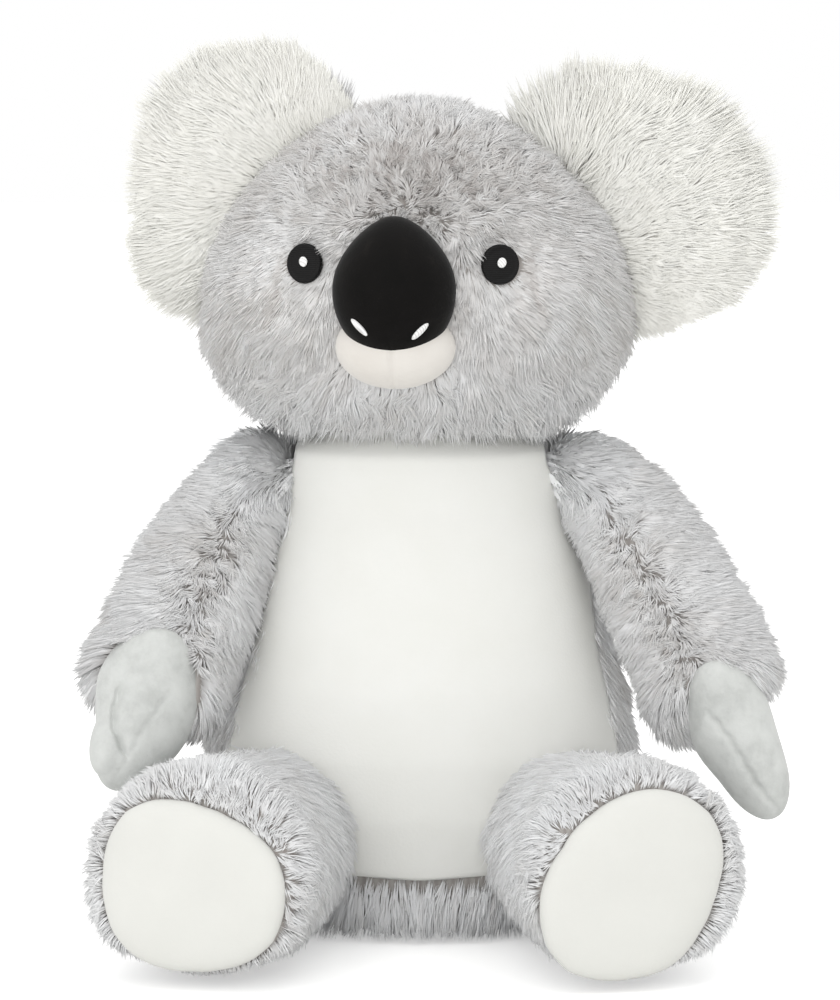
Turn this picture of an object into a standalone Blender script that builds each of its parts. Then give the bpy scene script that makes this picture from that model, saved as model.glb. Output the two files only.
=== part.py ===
"""A seated plush koala with a blank tummy, built as its real pieces: skins, stuffing, velour and zip.

Metres, +Z up, the face towards -Y. The origin is the centre of the flat seat.
Every plush skin is modelled out to the tips of its pile, so its wall is backing and pile together.
"""
import math

import bmesh
import bpy
import numpy as np
from mathutils import Matrix, Vector
from mathutils.bvhtree import BVHTree

# Cloth and seams
PILE_WALL = 0.008
VELOUR_SINK = 0.0025
VELOUR_WALL = 0.005
SEAM_GAP = 0.0003
STUFFING_GAP = 0.0004
JOINT_GAP = 0.0006
FLAT_DEPTH = 0.0005
CUT_OVERRUN = 0.02

# Body
TORSO_WIDTH = 0.168
TORSO_DEPTH = 0.132
TORSO_HEIGHT = 0.185
BELLY_SHIFT = 0.005
NECK_RADIUS = 0.034
NECK_RISE = 0.011

# Head, turned a little on its neck
HEAD_WIDTH = 0.168
HEAD_DEPTH = 0.140
HEAD_HEIGHT = 0.1285
HEAD_BASE = 0.1855
HEAD_FORWARD = 0.008
HEAD_TURN_DEG = -5.7

# Ears, round flaps sewn across the head's upper corners
EAR_LENGTH = 0.110
EAR_WIDTH = 0.096
EAR_THICKNESS = 0.026
EAR_SEAT_LEFT = 0.0965
EAR_SEAT_RIGHT = 0.0825
EAR_SEAT_BACK = 0.006
EAR_REACH_LEFT = 0.044
EAR_REACH_RIGHT = 0.056
EAR_SLANT_LEFT_DEG = 26.0
EAR_SLANT_RIGHT_DEG = 30.0
EAR_FLEX_DEG = 12.0
EAR_ROOT_RADIUS = 0.0022
EAR_ROOT_LENGTH = 0.036

# Face
NOSE_WIDTH = 0.045
NOSE_HEIGHT = 0.051
NOSE_DEPTH = 0.046
NOSE_SINK = 0.003
NOSE_LIFT = 0.0605
CHIN_WIDTH = 0.044
CHIN_HEIGHT = 0.030
CHIN_DEPTH = 0.034
CHIN_SINK = 0.005
CHIN_LIFT = 0.0385
EYE_DIAMETER = 0.0145
EYE_THICKNESS = 0.0016
EYE_SPACING = 0.072
EYE_LIFT = 0.0680
EYE_SOCKET_RADIUS = 0.020
EYE_SOCKET_DEPTH = 0.0045
HIGHLIGHT_DIAMETER = 0.0032
HIGHLIGHT_SHIFT = 0.0028
THREAD_THICKNESS = 0.0012
NOSTRIL_LENGTH = 0.0072
NOSTRIL_WIDTH = 0.0026
NOSTRIL_SPACING = 0.0225
NOSTRIL_DROP = 0.0145
NOSTRIL_SLANT_DEG = 28.0

# Arms
ARM_LENGTH = 0.104
ARM_WIDTH = 0.057
ARM_DEPTH = 0.044
SHOULDER_RADIUS = 0.0205
SHOULDER_SPACING = 0.126
SHOULDER_HEIGHT = 0.1675
SHOULDER_FRONT = 0.012
ARM_SPREAD_LEFT_DEG = 22.0
ARM_SPREAD_RIGHT_DEG = 27.0
ARM_FORWARD_LEFT_DEG = 30.0
ARM_FORWARD_RIGHT_DEG = 23.0
ARM_CLEARANCE = 0.0016
PAW_LENGTH = 0.060
PAW_WIDTH = 0.041
PAW_DEPTH = 0.030
PAW_SEAT = 0.024
PAW_CLEARANCE = 0.0012
THUMB_LENGTH = 0.038
THUMB_WIDTH = 0.021
THUMB_DEPTH = 0.020
THUMB_SIDE = 0.014
THUMB_DROP = 0.019

# Legs
LEG_LENGTH = 0.100
LEG_DIAMETER = 0.084
HIP_RADIUS = 0.038
HIP_SPACING = 0.112
HIP_HEIGHT = 0.0385
HIP_FRONT = 0.050
LEG_SPLAY_LEFT_DEG = 13.0
LEG_SPLAY_RIGHT_DEG = 12.0
LEG_LIFT_DEG = 1.8
LEG_SPREAD_DEG = 12.0
SOLE_WIDTH = 0.066
SOLE_HEIGHT = 0.062
SOLE_CROWN = 0.006
SOLE_WALL = 0.003
SOLE_SINK = 0.003
SOLE_DROP = 0.0035

# Zip in the seat, with a child-safe slider that has no pull tab
ZIP_LENGTH = 0.078
ZIP_BACK = 0.013
TAPE_WIDTH = 0.0050
TAPE_THICKNESS = 0.0006
TAPE_HEIGHT = 0.0052
COIL_WIDTH = 0.0034
COIL_THICKNESS = 0.0014
COIL_SPINE = 0.0008
LOOP_PITCH = 0.0032
LOOP_LENGTH = 0.0010
SLIDER_LENGTH = 0.0088
SLIDER_WIDTH = 0.0062
SLIDER_WALL = 0.0008
SLIDER_TRAVEL = 0.060
STOP_LENGTH = 0.0022
BAIL_LENGTH = 0.0050
BAIL_WIDTH = 0.0016
BAIL_RISE = 0.0012

# Outlines, as shares of the sizes above: height or length, half width, half depth
TORSO_SHARES = (
    (0.000, 0.52, 0.50), (0.013, 0.70, 0.69), (0.055, 0.845, 0.84), (0.135, 0.945, 0.95),
    (0.250, 1.00, 1.00), (0.370, 1.00, 1.00), (0.510, 0.945, 0.96), (0.640, 0.865, 0.89),
    (0.775, 0.775, 0.80), (0.880, 0.69, 0.715), (0.955, 0.59, 0.62), (0.990, 0.42, 0.47),
)
BELLY_SHARES = (0.2, 0.4, 0.7, 0.9, 1.0, 1.0, 0.8, 0.6, 0.3, 0.1, 0.0, 0.0)
HEAD_SHARES = (
    (0.012, 0.36, 0.36), (0.075, 0.68, 0.66), (0.170, 0.86, 0.84), (0.290, 0.96, 0.95),
    (0.430, 1.00, 1.00), (0.575, 0.955, 0.98), (0.745, 0.80, 0.87), (0.895, 0.57, 0.66),
    (0.980, 0.30, 0.37),
)
ARM_SHARES = (
    (0.18, 0.80, 0.95), (0.38, 0.92, 0.99), (0.60, 0.97, 1.00), (0.80, 1.00, 1.00),
    (0.94, 0.94, 0.94), (1.00, 0.86, 0.86),
)
ARM_BEND_SHARES = (0.05, 0.085, 0.07, 0.04, 0.0, -0.02)
PAW_SHARES = (
    (0.00, 0.80, 0.86), (0.22, 0.92, 1.00), (0.48, 1.00, 1.00), (0.72, 0.88, 0.90),
    (0.90, 0.58, 0.62), (0.98, 0.28, 0.30),
)
LEG_SHARES = (
    (0.16, 0.885, 0.885), (0.34, 0.93, 0.93), (0.60, 0.985, 0.985), (0.82, 1.00, 1.00),
    (0.94, 0.975, 0.975), (1.00, 0.90, 0.90),
)
PANEL_SHARES = (
    (0.0, 0.955), (0.30, 0.955), (0.53, 0.945), (0.60, 0.86), (0.67, 0.72), (0.74, 0.58),
    (0.82, 0.45), (0.88, 0.34), (0.895, 0.26), (0.85, 0.20), (0.72, 0.165), (0.45, 0.145),
    (0.0, 0.135),
)

# Counts
BODY_SIDES = 30
HIP_SIDES = 26
EAR_SIDES = 22
LIMB_SIDES = 18
INNER_SIDES = 12
SMALL_SIDES = 12
STITCH_SIDES = 8
ROW_STEPS = 2
DOME_RINGS = 5


def empty_scene():
    """Clear the file's objects."""
    for old in list(bpy.data.objects):
        bpy.data.objects.remove(old, do_unlink=True)


def new_collection(name, hidden=False):
    """A collection under the scene's own."""
    made = bpy.data.collections.new(name)
    bpy.context.scene.collection.children.link(made)
    made.hide_render = hidden
    return made


def paint(name, hex_colour, roughness, metallic=0.0):
    """A Principled material of one colour."""
    made = bpy.data.materials.new(name)
    made.use_nodes = True
    shader = made.node_tree.nodes["Principled BSDF"]
    parts = [int(hex_colour[i:i + 2], 16) / 255 for i in (0, 2, 4)]
    linear = [c / 12.92 if c <= 0.04045 else ((c + 0.055) / 1.055) ** 2.4 for c in parts]
    shader.inputs["Base Color"].default_value = (*linear, 1.0)
    shader.inputs["Roughness"].default_value = roughness
    shader.inputs["Metallic"].default_value = metallic
    made.diffuse_color = (*linear, 1.0)
    return made


empty_scene()
KOALA = new_collection("koala")
CUTTERS = new_collection("cutters", hidden=True)

GREY_PLUSH = paint("grey plush", "B4B2B2", 0.95)
WHITE_PILE = paint("white long pile", "EDEEEB", 0.95)
IVORY_VELOUR = paint("ivory velour", "ECECE7", 0.9)
CHIN_VELOUR = paint("chin velour", "E8E5DF", 0.9)
PAW_VELOUR = paint("grey velour", "C3C5C1", 0.9)
BLACK_VELOUR = paint("black velour", "15120F", 0.9)
BLACK_THREAD = paint("black thread", "0E0D0D", 0.5)
WHITE_THREAD = paint("white thread", "F4F3F1", 0.5)
FIBRE_FILL = paint("fibre fill", "F2F2F0", 1.0)
ZIP_CLOTH = paint("zip tape", "A9A8A8", 0.9)
ZIP_NYLON = paint("zip nylon", "9C9B9B", 0.4)
ZIP_METAL = paint("zip metal", "B9BABC", 0.35, 1.0)


def part(obj, name, material, parent=None):
    """File an object as a piece of the toy."""
    return filed(obj, name, KOALA, parent, material)


def cutter(obj, name, parent=None):
    """File an object as a cutter or a guide."""
    made = filed(obj, name, CUTTERS, parent, None)
    made.hide_render = True
    made.display_type = "WIRE"
    return made


def filed(obj, name, collection, parent, material):
    """Name an object, move it to its collection and hang it on its parent, its place kept as local."""
    for holder in list(obj.users_collection):
        holder.objects.unlink(obj)
    collection.objects.link(obj)
    obj.name = name
    obj.data.name = name
    if material is not None:
        obj.data.materials.clear()
        obj.data.materials.append(material)
    if parent is not None:
        obj.parent = parent
    obj.data.shade_smooth()
    return obj


def pivot(name, place, turn=(0.0, 0.0, 0.0), parent=None):
    """An empty on a joint's axis that carries a moving piece."""
    made = bpy.data.objects.new(name, None)
    CUTTERS.objects.link(made)
    made.location = place
    made.rotation_mode = "XYZ"
    made.rotation_euler = [math.radians(angle) for angle in turn]
    made.parent = parent
    return made


def mesh_object(name, grid):
    """An object from a bmesh, its normals outward."""
    bmesh.ops.recalc_face_normals(grid, faces=grid.faces)
    mesh = bpy.data.meshes.new(name)
    grid.to_mesh(mesh)
    grid.free()
    return bpy.data.objects.new(name, mesh)


def smooth_rows(rows, steps=ROW_STEPS):
    """Rows read from a Catmull-Rom curve through the given ones."""
    table = np.array(rows, dtype=float)
    padded = np.vstack((2 * table[0] - table[1], table, 2 * table[-1] - table[-2]))
    made = []
    for index in range(len(table) - 1):
        before, start, end, after = padded[index:index + 4]
        for step in range(steps):
            t = step / steps
            made.append(0.5 * (2 * start + (end - before) * t
                               + (2 * before - 5 * start + 4 * end - after) * t ** 2
                               + (3 * start - before - 3 * end + after) * t ** 3))
    made.append(table[-1])
    return made


def loft(name, rings, sides, start_pole=None, end_pole=None):
    """A closed skin over rings of (centre, wide axis, deep axis), with a pole or a flat cap at each end."""
    grid = bmesh.new()
    loops = []
    for centre, wide, deep in rings:
        turns = [2 * math.pi * side / sides for side in range(sides)]
        loops.append([grid.verts.new(centre + wide * math.cos(a) + deep * math.sin(a)) for a in turns])
    for low, high in zip(loops, loops[1:]):
        for side in range(sides):
            after = (side + 1) % sides
            grid.faces.new((low[side], low[after], high[after], high[side]))
    for loop, pole in ((loops[0], start_pole), (loops[-1], end_pole)):
        if pole is None:
            grid.faces.new(loop)
            continue
        tip = grid.verts.new(pole)
        for side in range(sides):
            grid.faces.new((loop[side], loop[(side + 1) % sides], tip))
    return mesh_object(name, grid)


def upright_form(name, shares, size, base, shifts, inset=0.0):
    """A swelling form on a vertical axis: rows of height, half width and half depth shares."""
    width, depth, height = size
    squeeze = 1.0 - 2 * inset / height
    rows = [(base + inset + row[0] * height * squeeze, row[1] * width / 2 - inset,
             row[2] * depth / 2 - inset, -shift) for row, shift in zip(shares, shifts)]
    steps, sides = (1, BODY_SIDES // 2) if inset else (ROW_STEPS, BODY_SIDES)
    rings = [(Vector((0.0, row[3], row[0])), Vector((row[1], 0.0, 0.0)), Vector((0.0, row[2], 0.0)))
             for row in smooth_rows(rows, steps)]
    low = Vector((0.0, rows[0][3], base + inset))
    high = Vector((0.0, rows[-1][3], base + height - inset))
    return loft(name, rings, sides, low, high)


def limb_form(name, shares, size, ball_radius, along, deep, bends=None, inset=0.0, overrun=0.0):
    """A limb from a ball on its joint: rows of length, half width and half depth shares."""
    width, depth, length = size
    along, deep = Vector(along), Vector(deep)
    wide = deep.cross(along)
    ball_radius -= inset
    rings = []
    for ring in range(1, DOME_RINGS):
        angle = math.pi / 2 * ring / DOME_RINGS
        reach, round_radius = -ball_radius * math.cos(angle), ball_radius * math.sin(angle)
        rings.append((along * reach, wide * round_radius, deep * round_radius))
    bends = bends or [0.0] * len(shares)
    rows = [(0.0, ball_radius, ball_radius, 0.0)]
    rows += [(row[0] * length, row[1] * width / 2 - inset, row[2] * depth / 2 - inset, bend * length)
             for row, bend in zip(shares, bends)]
    steps, sides = (1, INNER_SIDES) if inset else (ROW_STEPS, LIMB_SIDES)
    for row in smooth_rows(rows, steps):
        rings.append((along * row[0] + wide * row[3], wide * row[1], deep * row[2]))
    if overrun:
        rings.append((rings[-1][0] + along * overrun, rings[-1][1], rings[-1][2]))
    return loft(name, rings, sides, along * -ball_radius)


def ball(name, size, place, segments=SMALL_SIDES, rings=None):
    """A sphere primitive stretched to a width, depth and height."""
    grid = bmesh.new()
    bmesh.ops.create_uvsphere(grid, u_segments=segments, v_segments=rings or segments // 2, radius=0.5)
    bmesh.ops.scale(grid, vec=size, verts=grid.verts)
    bmesh.ops.translate(grid, vec=place, verts=grid.verts)
    return mesh_object(name, grid)


def box(name, low, high):
    """A box between two corners."""
    low, high = Vector(low), Vector(high)
    grid = bmesh.new()
    bmesh.ops.create_cube(grid, size=1.0)
    bmesh.ops.scale(grid, vec=high - low, verts=grid.verts)
    bmesh.ops.translate(grid, vec=(low + high) / 2, verts=grid.verts)
    return mesh_object(name, grid)


def rod(name, radius, length):
    """A round rod on the upright axis, its middle at the origin."""
    rings = [(Vector((0.0, 0.0, z)), Vector((radius, 0.0, 0.0)), Vector((0.0, radius, 0.0)))
             for z in (-length / 2, length / 2)]
    return loft(name, rings, SMALL_SIDES)


def grown(source, name, distance=0.0):
    """A copy of a form, its skin moved outward by a distance, or inward where that is negative."""
    mesh = source.data.copy()
    grid = bmesh.new()
    grid.from_mesh(mesh)
    grid.normal_update()
    places = [vert.co + vert.normal * distance for vert in grid.verts]
    for vert, place in zip(grid.verts, places):
        vert.co = place
    grid.to_mesh(mesh)
    grid.free()
    return bpy.data.objects.new(name, mesh)


def cut(target, *tools):
    """Take cutters away from a piece."""
    for tool in tools:
        joined(target, tool, "DIFFERENCE")


def joined(target, tool, operation):
    """A Boolean modifier on a piece."""
    step = target.modifiers.new(f"{operation.lower()} {tool.name}", "BOOLEAN")
    step.operation = operation
    step.solver = "EXACT"
    step.object = tool


def swept_hull(form, name, hinge_place, hinge_axis, stops_deg):
    """The rounded space that a form sweeps when it turns round a hinge from stop to stop."""
    grid = bmesh.new()
    for stop in stops_deg:
        turn = (Matrix.Translation(hinge_place)
                @ Matrix.Rotation(math.radians(stop), 4, hinge_axis)
                @ Matrix.Translation(-hinge_place))
        for vert in form.data.vertices:
            grid.verts.new(turn @ vert.co)
    hull = bmesh.ops.convex_hull(grid, input=grid.verts)
    inside = set(hull["geom_interior"]) | set(hull["geom_unused"])
    bmesh.ops.delete(grid, geom=[item for item in inside if isinstance(item, bmesh.types.BMVert)],
                     context="VERTS")
    return cutter(mesh_object(name, grid), name, form.parent)


def outline_prism(name, inset):
    """The tummy panel's outline as a block through the front of the body, drawn in by an inset."""
    half = [Vector((row[0] * TORSO_WIDTH / 2, row[1] * TORSO_HEIGHT)) for row in PANEL_SHARES]
    mirrored = [Vector((-point.x, point.y)) for point in reversed(half[1:-1])]
    points = half + mirrored
    grid = bmesh.new()
    corners = []
    for index, point in enumerate(points):
        along = points[(index + 1) % len(points)] - points[index - 1]
        inward = Vector((-along.y, along.x)).normalized()
        if inward.dot(Vector((0.0, TORSO_HEIGHT / 2)) - point) < 0:
            inward.negate()
        place = point + inward * inset
        corners.append(grid.verts.new((place.x, -TORSO_DEPTH, place.y)))
    face = grid.faces.new(corners)
    raised = bmesh.ops.extrude_face_region(grid, geom=[face])
    moved = [item for item in raised["geom"] if isinstance(item, bmesh.types.BMVert)]
    bmesh.ops.translate(grid, vec=(0.0, TORSO_DEPTH, 0.0), verts=moved)
    return mesh_object(name, grid)


# Body skin, panel and pod
TORSO_SIZE = (TORSO_WIDTH, TORSO_DEPTH, TORSO_HEIGHT)
belly_shifts = [share * BELLY_SHIFT for share in BELLY_SHARES]
torso_form = cutter(
    upright_form("torso_form", TORSO_SHARES, TORSO_SIZE, -FLAT_DEPTH, belly_shifts), "torso_form")
floor_cut = cutter(
    box("floor_cut", (-TORSO_WIDTH, -2 * TORSO_DEPTH, -CUT_OVERRUN), (TORSO_WIDTH, TORSO_DEPTH, 0.0)),
    "floor_cut")
NECK_CENTRE = Vector((0.0, 0.0, TORSO_HEIGHT + NECK_RISE - NECK_RADIUS))
neck_size = [2 * NECK_RADIUS] * 3
neck_ball = cutter(ball("neck_ball", neck_size, NECK_CENTRE, LIMB_SIDES), "neck_ball")
neck_socket = cutter(grown(neck_ball, "neck_socket", JOINT_GAP), "neck_socket")
torso_hollow = cutter(
    upright_form("torso_hollow", TORSO_SHARES, TORSO_SIZE, -FLAT_DEPTH, belly_shifts, PILE_WALL),
    "torso_hollow")
panel_opening = cutter(outline_prism("panel_opening", 0.0), "panel_opening")
panel_block = cutter(outline_prism("panel_block", SEAM_GAP), "panel_block")
panel_back = cutter(grown(torso_form, "panel_back", -VELOUR_SINK - VELOUR_WALL), "panel_back")

body_plush = part(grown(torso_form, "body_plush"), "body_plush", GREY_PLUSH)
joined(body_plush, neck_ball, "UNION")
tummy_panel = part(grown(torso_form, "tummy_panel", -VELOUR_SINK), "tummy_panel", IVORY_VELOUR)
joined(tummy_panel, panel_block, "INTERSECT")
cut(tummy_panel, panel_back)
body_pod = part(
    upright_form("body_stuffing_pod", TORSO_SHARES, TORSO_SIZE, -FLAT_DEPTH, belly_shifts,
                 PILE_WALL + STUFFING_GAP), "body_stuffing_pod", FIBRE_FILL)

# Zip in the seat, its teeth facing the table through a slot in the skin
SLOT_HALF_WIDTH = TAPE_WIDTH + 2 * SEAM_GAP
SLOT_HALF_LENGTH = ZIP_LENGTH / 2 + SEAM_GAP
COIL_TOP = TAPE_HEIGHT - SEAM_GAP
COIL_BASE = COIL_TOP - COIL_THICKNESS
zip_slot = cutter(
    box("zip_slot", (-SLOT_HALF_LENGTH, ZIP_BACK - SLOT_HALF_WIDTH, -CUT_OVERRUN),
        (SLOT_HALF_LENGTH, ZIP_BACK + SLOT_HALF_WIDTH, PILE_WALL + VELOUR_SINK)), "zip_slot")


def coil(name, side):
    """One half of the zip's coil: a spine with loops that reach between those of the other half."""
    run = ZIP_LENGTH - 2 * STOP_LENGTH - 2 * SEAM_GAP
    count = int(run / LOOP_PITCH)
    outer, inner = COIL_WIDTH / 2, COIL_WIDTH / 2 - COIL_SPINE
    tip = -inner + SEAM_GAP
    start = -count * LOOP_PITCH / 2
    outline = [(start, outer), (start, inner)]
    for index in range(count):
        loop = start + index * LOOP_PITCH + (LOOP_PITCH / 2 if side > 0 else 0.0)
        outline += [(loop, inner), (loop, tip), (loop + LOOP_LENGTH, tip), (loop + LOOP_LENGTH, inner)]
    outline += [(start + count * LOOP_PITCH, inner), (start + count * LOOP_PITCH, outer)]
    grid = bmesh.new()
    corners = [grid.verts.new((x, ZIP_BACK + side * y, COIL_BASE)) for x, y in outline]
    face = grid.faces.new(corners)
    raised = bmesh.ops.extrude_face_region(grid, geom=[face])
    moved = [item for item in raised["geom"] if isinstance(item, bmesh.types.BMVert)]
    bmesh.ops.translate(grid, vec=(0.0, 0.0, COIL_THICKNESS), verts=moved)
    bmesh.ops.remove_doubles(grid, verts=grid.verts, dist=SEAM_GAP / 10)
    return mesh_object(name, grid)


for side, word in ((-1, "front"), (1, "rear")):
    near = ZIP_BACK + side * SEAM_GAP
    far = near + side * TAPE_WIDTH
    tape = box("zip_tape", (-ZIP_LENGTH / 2, min(near, far), TAPE_HEIGHT),
               (ZIP_LENGTH / 2, max(near, far), TAPE_HEIGHT + TAPE_THICKNESS))
    part(tape, f"zip_tape_{word}", ZIP_CLOTH)
    part(coil("zip_coil", side), f"zip_coil_{word}", ZIP_NYLON)

for side, word in ((-1, "left"), (1, "right")):
    near, far = side * (ZIP_LENGTH / 2 - STOP_LENGTH), side * ZIP_LENGTH / 2
    stop = box("zip_stop", (min(near, far), ZIP_BACK - SLIDER_WIDTH / 2, COIL_BASE),
               (max(near, far), ZIP_BACK + SLIDER_WIDTH / 2, COIL_TOP))
    part(stop, f"zip_stop_{word}", ZIP_METAL)

slider_pivot = pivot("zip_slider_rest", (SLIDER_TRAVEL / 2, ZIP_BACK, COIL_BASE))
slider_top = TAPE_HEIGHT - SEAM_GAP - COIL_BASE
slider = part(box("zip_slider", (-SLIDER_LENGTH / 2, -SLIDER_WIDTH / 2, -SEAM_GAP - SLIDER_WALL),
                  (SLIDER_LENGTH / 2, SLIDER_WIDTH / 2, slider_top)),
              "zip_slider", ZIP_METAL, slider_pivot)
channel_half = SLIDER_WIDTH / 2 - SLIDER_WALL
channel = cutter(box("slider_channel", (-SLIDER_LENGTH, -channel_half, -SEAM_GAP),
                     (SLIDER_LENGTH, channel_half, 2 * slider_top)), "slider_channel", slider_pivot)
bail_top = -SEAM_GAP - SLIDER_WALL / 2
bail_base = -SEAM_GAP - SLIDER_WALL - BAIL_RISE
bail = cutter(box("slider_bail", (-BAIL_LENGTH / 2, -BAIL_WIDTH / 2, bail_base),
                  (BAIL_LENGTH / 2, BAIL_WIDTH / 2, bail_top)), "slider_bail", slider_pivot)
eye_half = BAIL_LENGTH / 2 - SLIDER_WALL
bail_eye = cutter(box("slider_bail_eye", (-eye_half, -BAIL_WIDTH, bail_base + BAIL_RISE / 2),
                      (eye_half, BAIL_WIDTH, -SEAM_GAP - SLIDER_WALL)), "slider_bail_eye", slider_pivot)
joined(slider, bail, "UNION")
cut(slider, channel, bail_eye)

# Legs: a plush tube from a ball at the hip, a crowned velour sole in its mouth, filling inside
LEG_SIZE = (LEG_DIAMETER, LEG_DIAMETER, LEG_LENGTH)
LEG_ALONG, LEG_DEEP = (0.0, -1.0, 0.0), (0.0, 0.0, 1.0)
SOLE_CROWN_SHARES = ((0.0, 1.0), (0.25, 0.93), (0.55, 0.76), (0.80, 0.50), (0.95, 0.22))


def sole_form(name, extra):
    """A crowned oval pad that closes the mouth of a leg."""
    back = LEG_LENGTH - SOLE_SINK - SOLE_WALL - extra
    front = LEG_LENGTH - SOLE_SINK
    wide, high = SOLE_WIDTH / 2 + extra, SOLE_HEIGHT / 2 + extra
    rings = [(Vector((0.0, -back, -SOLE_DROP)), Vector((wide, 0.0, 0.0)), Vector((0.0, 0.0, high)))]
    for rise, share in SOLE_CROWN_SHARES:
        reach = front + rise * SOLE_CROWN
        rings.append((Vector((0.0, -reach, -SOLE_DROP)), Vector((wide * share, 0.0, 0.0)),
                      Vector((0.0, 0.0, high * share))))
    tip = Vector((0.0, -front - SOLE_CROWN - extra, -SOLE_DROP))
    return loft(name, rings, LIMB_SIDES, None, tip)


hip_balls = []
leg_rooms = {}
for side, word, splay in ((-1, "left", LEG_SPLAY_LEFT_DEG), (1, "right", LEG_SPLAY_RIGHT_DEG)):
    hip = pivot(f"hip_{word}", (side * HIP_SPACING / 2, -HIP_FRONT, HIP_HEIGHT),
                (-LEG_LIFT_DEG, 0.0, side * splay))
    hip_size = [2 * HIP_RADIUS] * 3
    hip_ball = cutter(ball("hip_ball", hip_size, (0.0, 0.0, 0.0), HIP_SIDES), f"hip_ball_{word}", hip)
    hip_socket = cutter(grown(hip_ball, f"hip_socket_{word}", JOINT_GAP), f"hip_socket_{word}", hip)
    hip_balls.append(hip_socket)
    skin_limit = cutter(grown(torso_form, f"leg_limit_{word}", JOINT_GAP), f"leg_limit_{word}")
    cut(skin_limit, hip_ball)
    form = limb_form("leg_form", LEG_SHARES, LEG_SIZE, HIP_RADIUS, LEG_ALONG, LEG_DEEP)
    hollow = limb_form("leg_hollow", LEG_SHARES, LEG_SIZE, HIP_RADIUS, LEG_ALONG, LEG_DEEP,
                       inset=PILE_WALL, overrun=CUT_OVERRUN)
    fill = limb_form("leg_fill", LEG_SHARES, LEG_SIZE, HIP_RADIUS, LEG_ALONG, LEG_DEEP,
                     inset=PILE_WALL + STUFFING_GAP)
    hollow = cutter(hollow, f"leg_hollow_{word}", hip)
    room = grown(form, "leg_room", PAW_CLEARANCE)
    room.parent = hip
    upright = Vector((0.0, 0.0, 1.0))
    leg_rooms[word] = swept_hull(room, f"leg_room_{word}", Vector(), upright,
                                 (0.0, side * LEG_SPREAD_DEG / 2, side * LEG_SPREAD_DEG))
    mouth = cutter(sole_form("sole_mouth", SEAM_GAP), f"sole_mouth_{word}", hip)
    leg = part(form, f"leg_{word}_plush", GREY_PLUSH, hip)
    cut(leg, hollow, mouth, skin_limit, floor_cut)
    part(sole_form("sole", 0.0), f"leg_{word}_sole", IVORY_VELOUR, hip)
    fill = part(fill, f"leg_{word}_stuffing", FIBRE_FILL, hip)
    cut(fill, mouth, skin_limit)

# Arms: a plush sleeve from a ball at the shoulder, a velour mitten in its mouth, filling inside
ARM_SIZE = (ARM_WIDTH, ARM_DEPTH, ARM_LENGTH)
ARM_ALONG, ARM_DEEP = (0.0, 0.0, -1.0), (0.0, 1.0, 0.0)


def paw_form(name):
    """The flat palm of a mitten, from its cuff inside the sleeve to its tip."""
    cuff = ARM_LENGTH - PAW_SEAT
    rows = [(-cuff - row[0] * PAW_LENGTH, row[1] * PAW_WIDTH / 2, row[2] * PAW_DEPTH / 2)
            for row in PAW_SHARES]
    rings = [(Vector((0.0, 0.0, row[0])), Vector((row[1], 0.0, 0.0)), Vector((0.0, row[2], 0.0)))
             for row in smooth_rows(rows)]
    return loft(name, rings, LIMB_SIDES, None, Vector((0.0, 0.0, -cuff - PAW_LENGTH)))


shoulder_sockets = []
for side, word, spread, forward in (
        (-1, "left", ARM_SPREAD_LEFT_DEG, ARM_FORWARD_LEFT_DEG),
        (1, "right", ARM_SPREAD_RIGHT_DEG, ARM_FORWARD_RIGHT_DEG)):
    shoulder = pivot(f"shoulder_{word}", (side * SHOULDER_SPACING / 2, -SHOULDER_FRONT, SHOULDER_HEIGHT),
                     (-forward, -side * spread, 0.0))
    ball_size = [2 * SHOULDER_RADIUS] * 3
    shoulder_ball = cutter(ball("shoulder_ball", ball_size, (0.0, 0.0, 0.0), BODY_SIDES),
                           f"shoulder_ball_{word}", shoulder)
    shoulder_socket = cutter(grown(shoulder_ball, "shoulder_socket", JOINT_GAP),
                             f"shoulder_socket_{word}", shoulder)
    shoulder_sockets.append(shoulder_socket)
    skin_limit = cutter(grown(torso_form, f"arm_limit_{word}", ARM_CLEARANCE), f"arm_limit_{word}")
    cut(skin_limit, shoulder_ball)
    bends = [-side * share for share in ARM_BEND_SHARES]
    sleeve = limb_form("sleeve", ARM_SHARES, ARM_SIZE, SHOULDER_RADIUS, ARM_ALONG, ARM_DEEP, bends)
    hollow = limb_form("sleeve_hollow", ARM_SHARES, ARM_SIZE, SHOULDER_RADIUS, ARM_ALONG, ARM_DEEP,
                       bends, inset=PILE_WALL)
    fill = limb_form("sleeve_fill", ARM_SHARES, ARM_SIZE, SHOULDER_RADIUS, ARM_ALONG, ARM_DEEP,
                     bends, inset=PILE_WALL + STUFFING_GAP)
    hollow = cutter(hollow, f"sleeve_hollow_{word}", shoulder)
    palm = paw_form("palm")
    mouth = cutter(grown(palm, "paw_mouth", SEAM_GAP), f"paw_mouth_{word}", shoulder)
    thumb_place = (side * THUMB_SIDE, 0.0, -ARM_LENGTH + PAW_SEAT - THUMB_DROP - THUMB_LENGTH / 2)
    thumb = cutter(ball("thumb", (THUMB_WIDTH, THUMB_DEPTH, THUMB_LENGTH), thumb_place),
                   f"thumb_{word}", shoulder)
    sleeve = part(sleeve, f"arm_{word}_sleeve", GREY_PLUSH, shoulder)
    thumb_room = cutter(grown(thumb, "thumb_room", SEAM_GAP), f"thumb_room_{word}", shoulder)
    cut(sleeve, hollow, mouth, thumb_room, skin_limit, leg_rooms[word])
    paw = part(palm, f"arm_{word}_paw", PAW_VELOUR, shoulder)
    joined(paw, thumb, "UNION")
    cut(paw, leg_rooms[word])
    fill = part(fill, f"arm_{word}_stuffing", FIBRE_FILL, shoulder)
    cut(fill, mouth, thumb_room, skin_limit)

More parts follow.
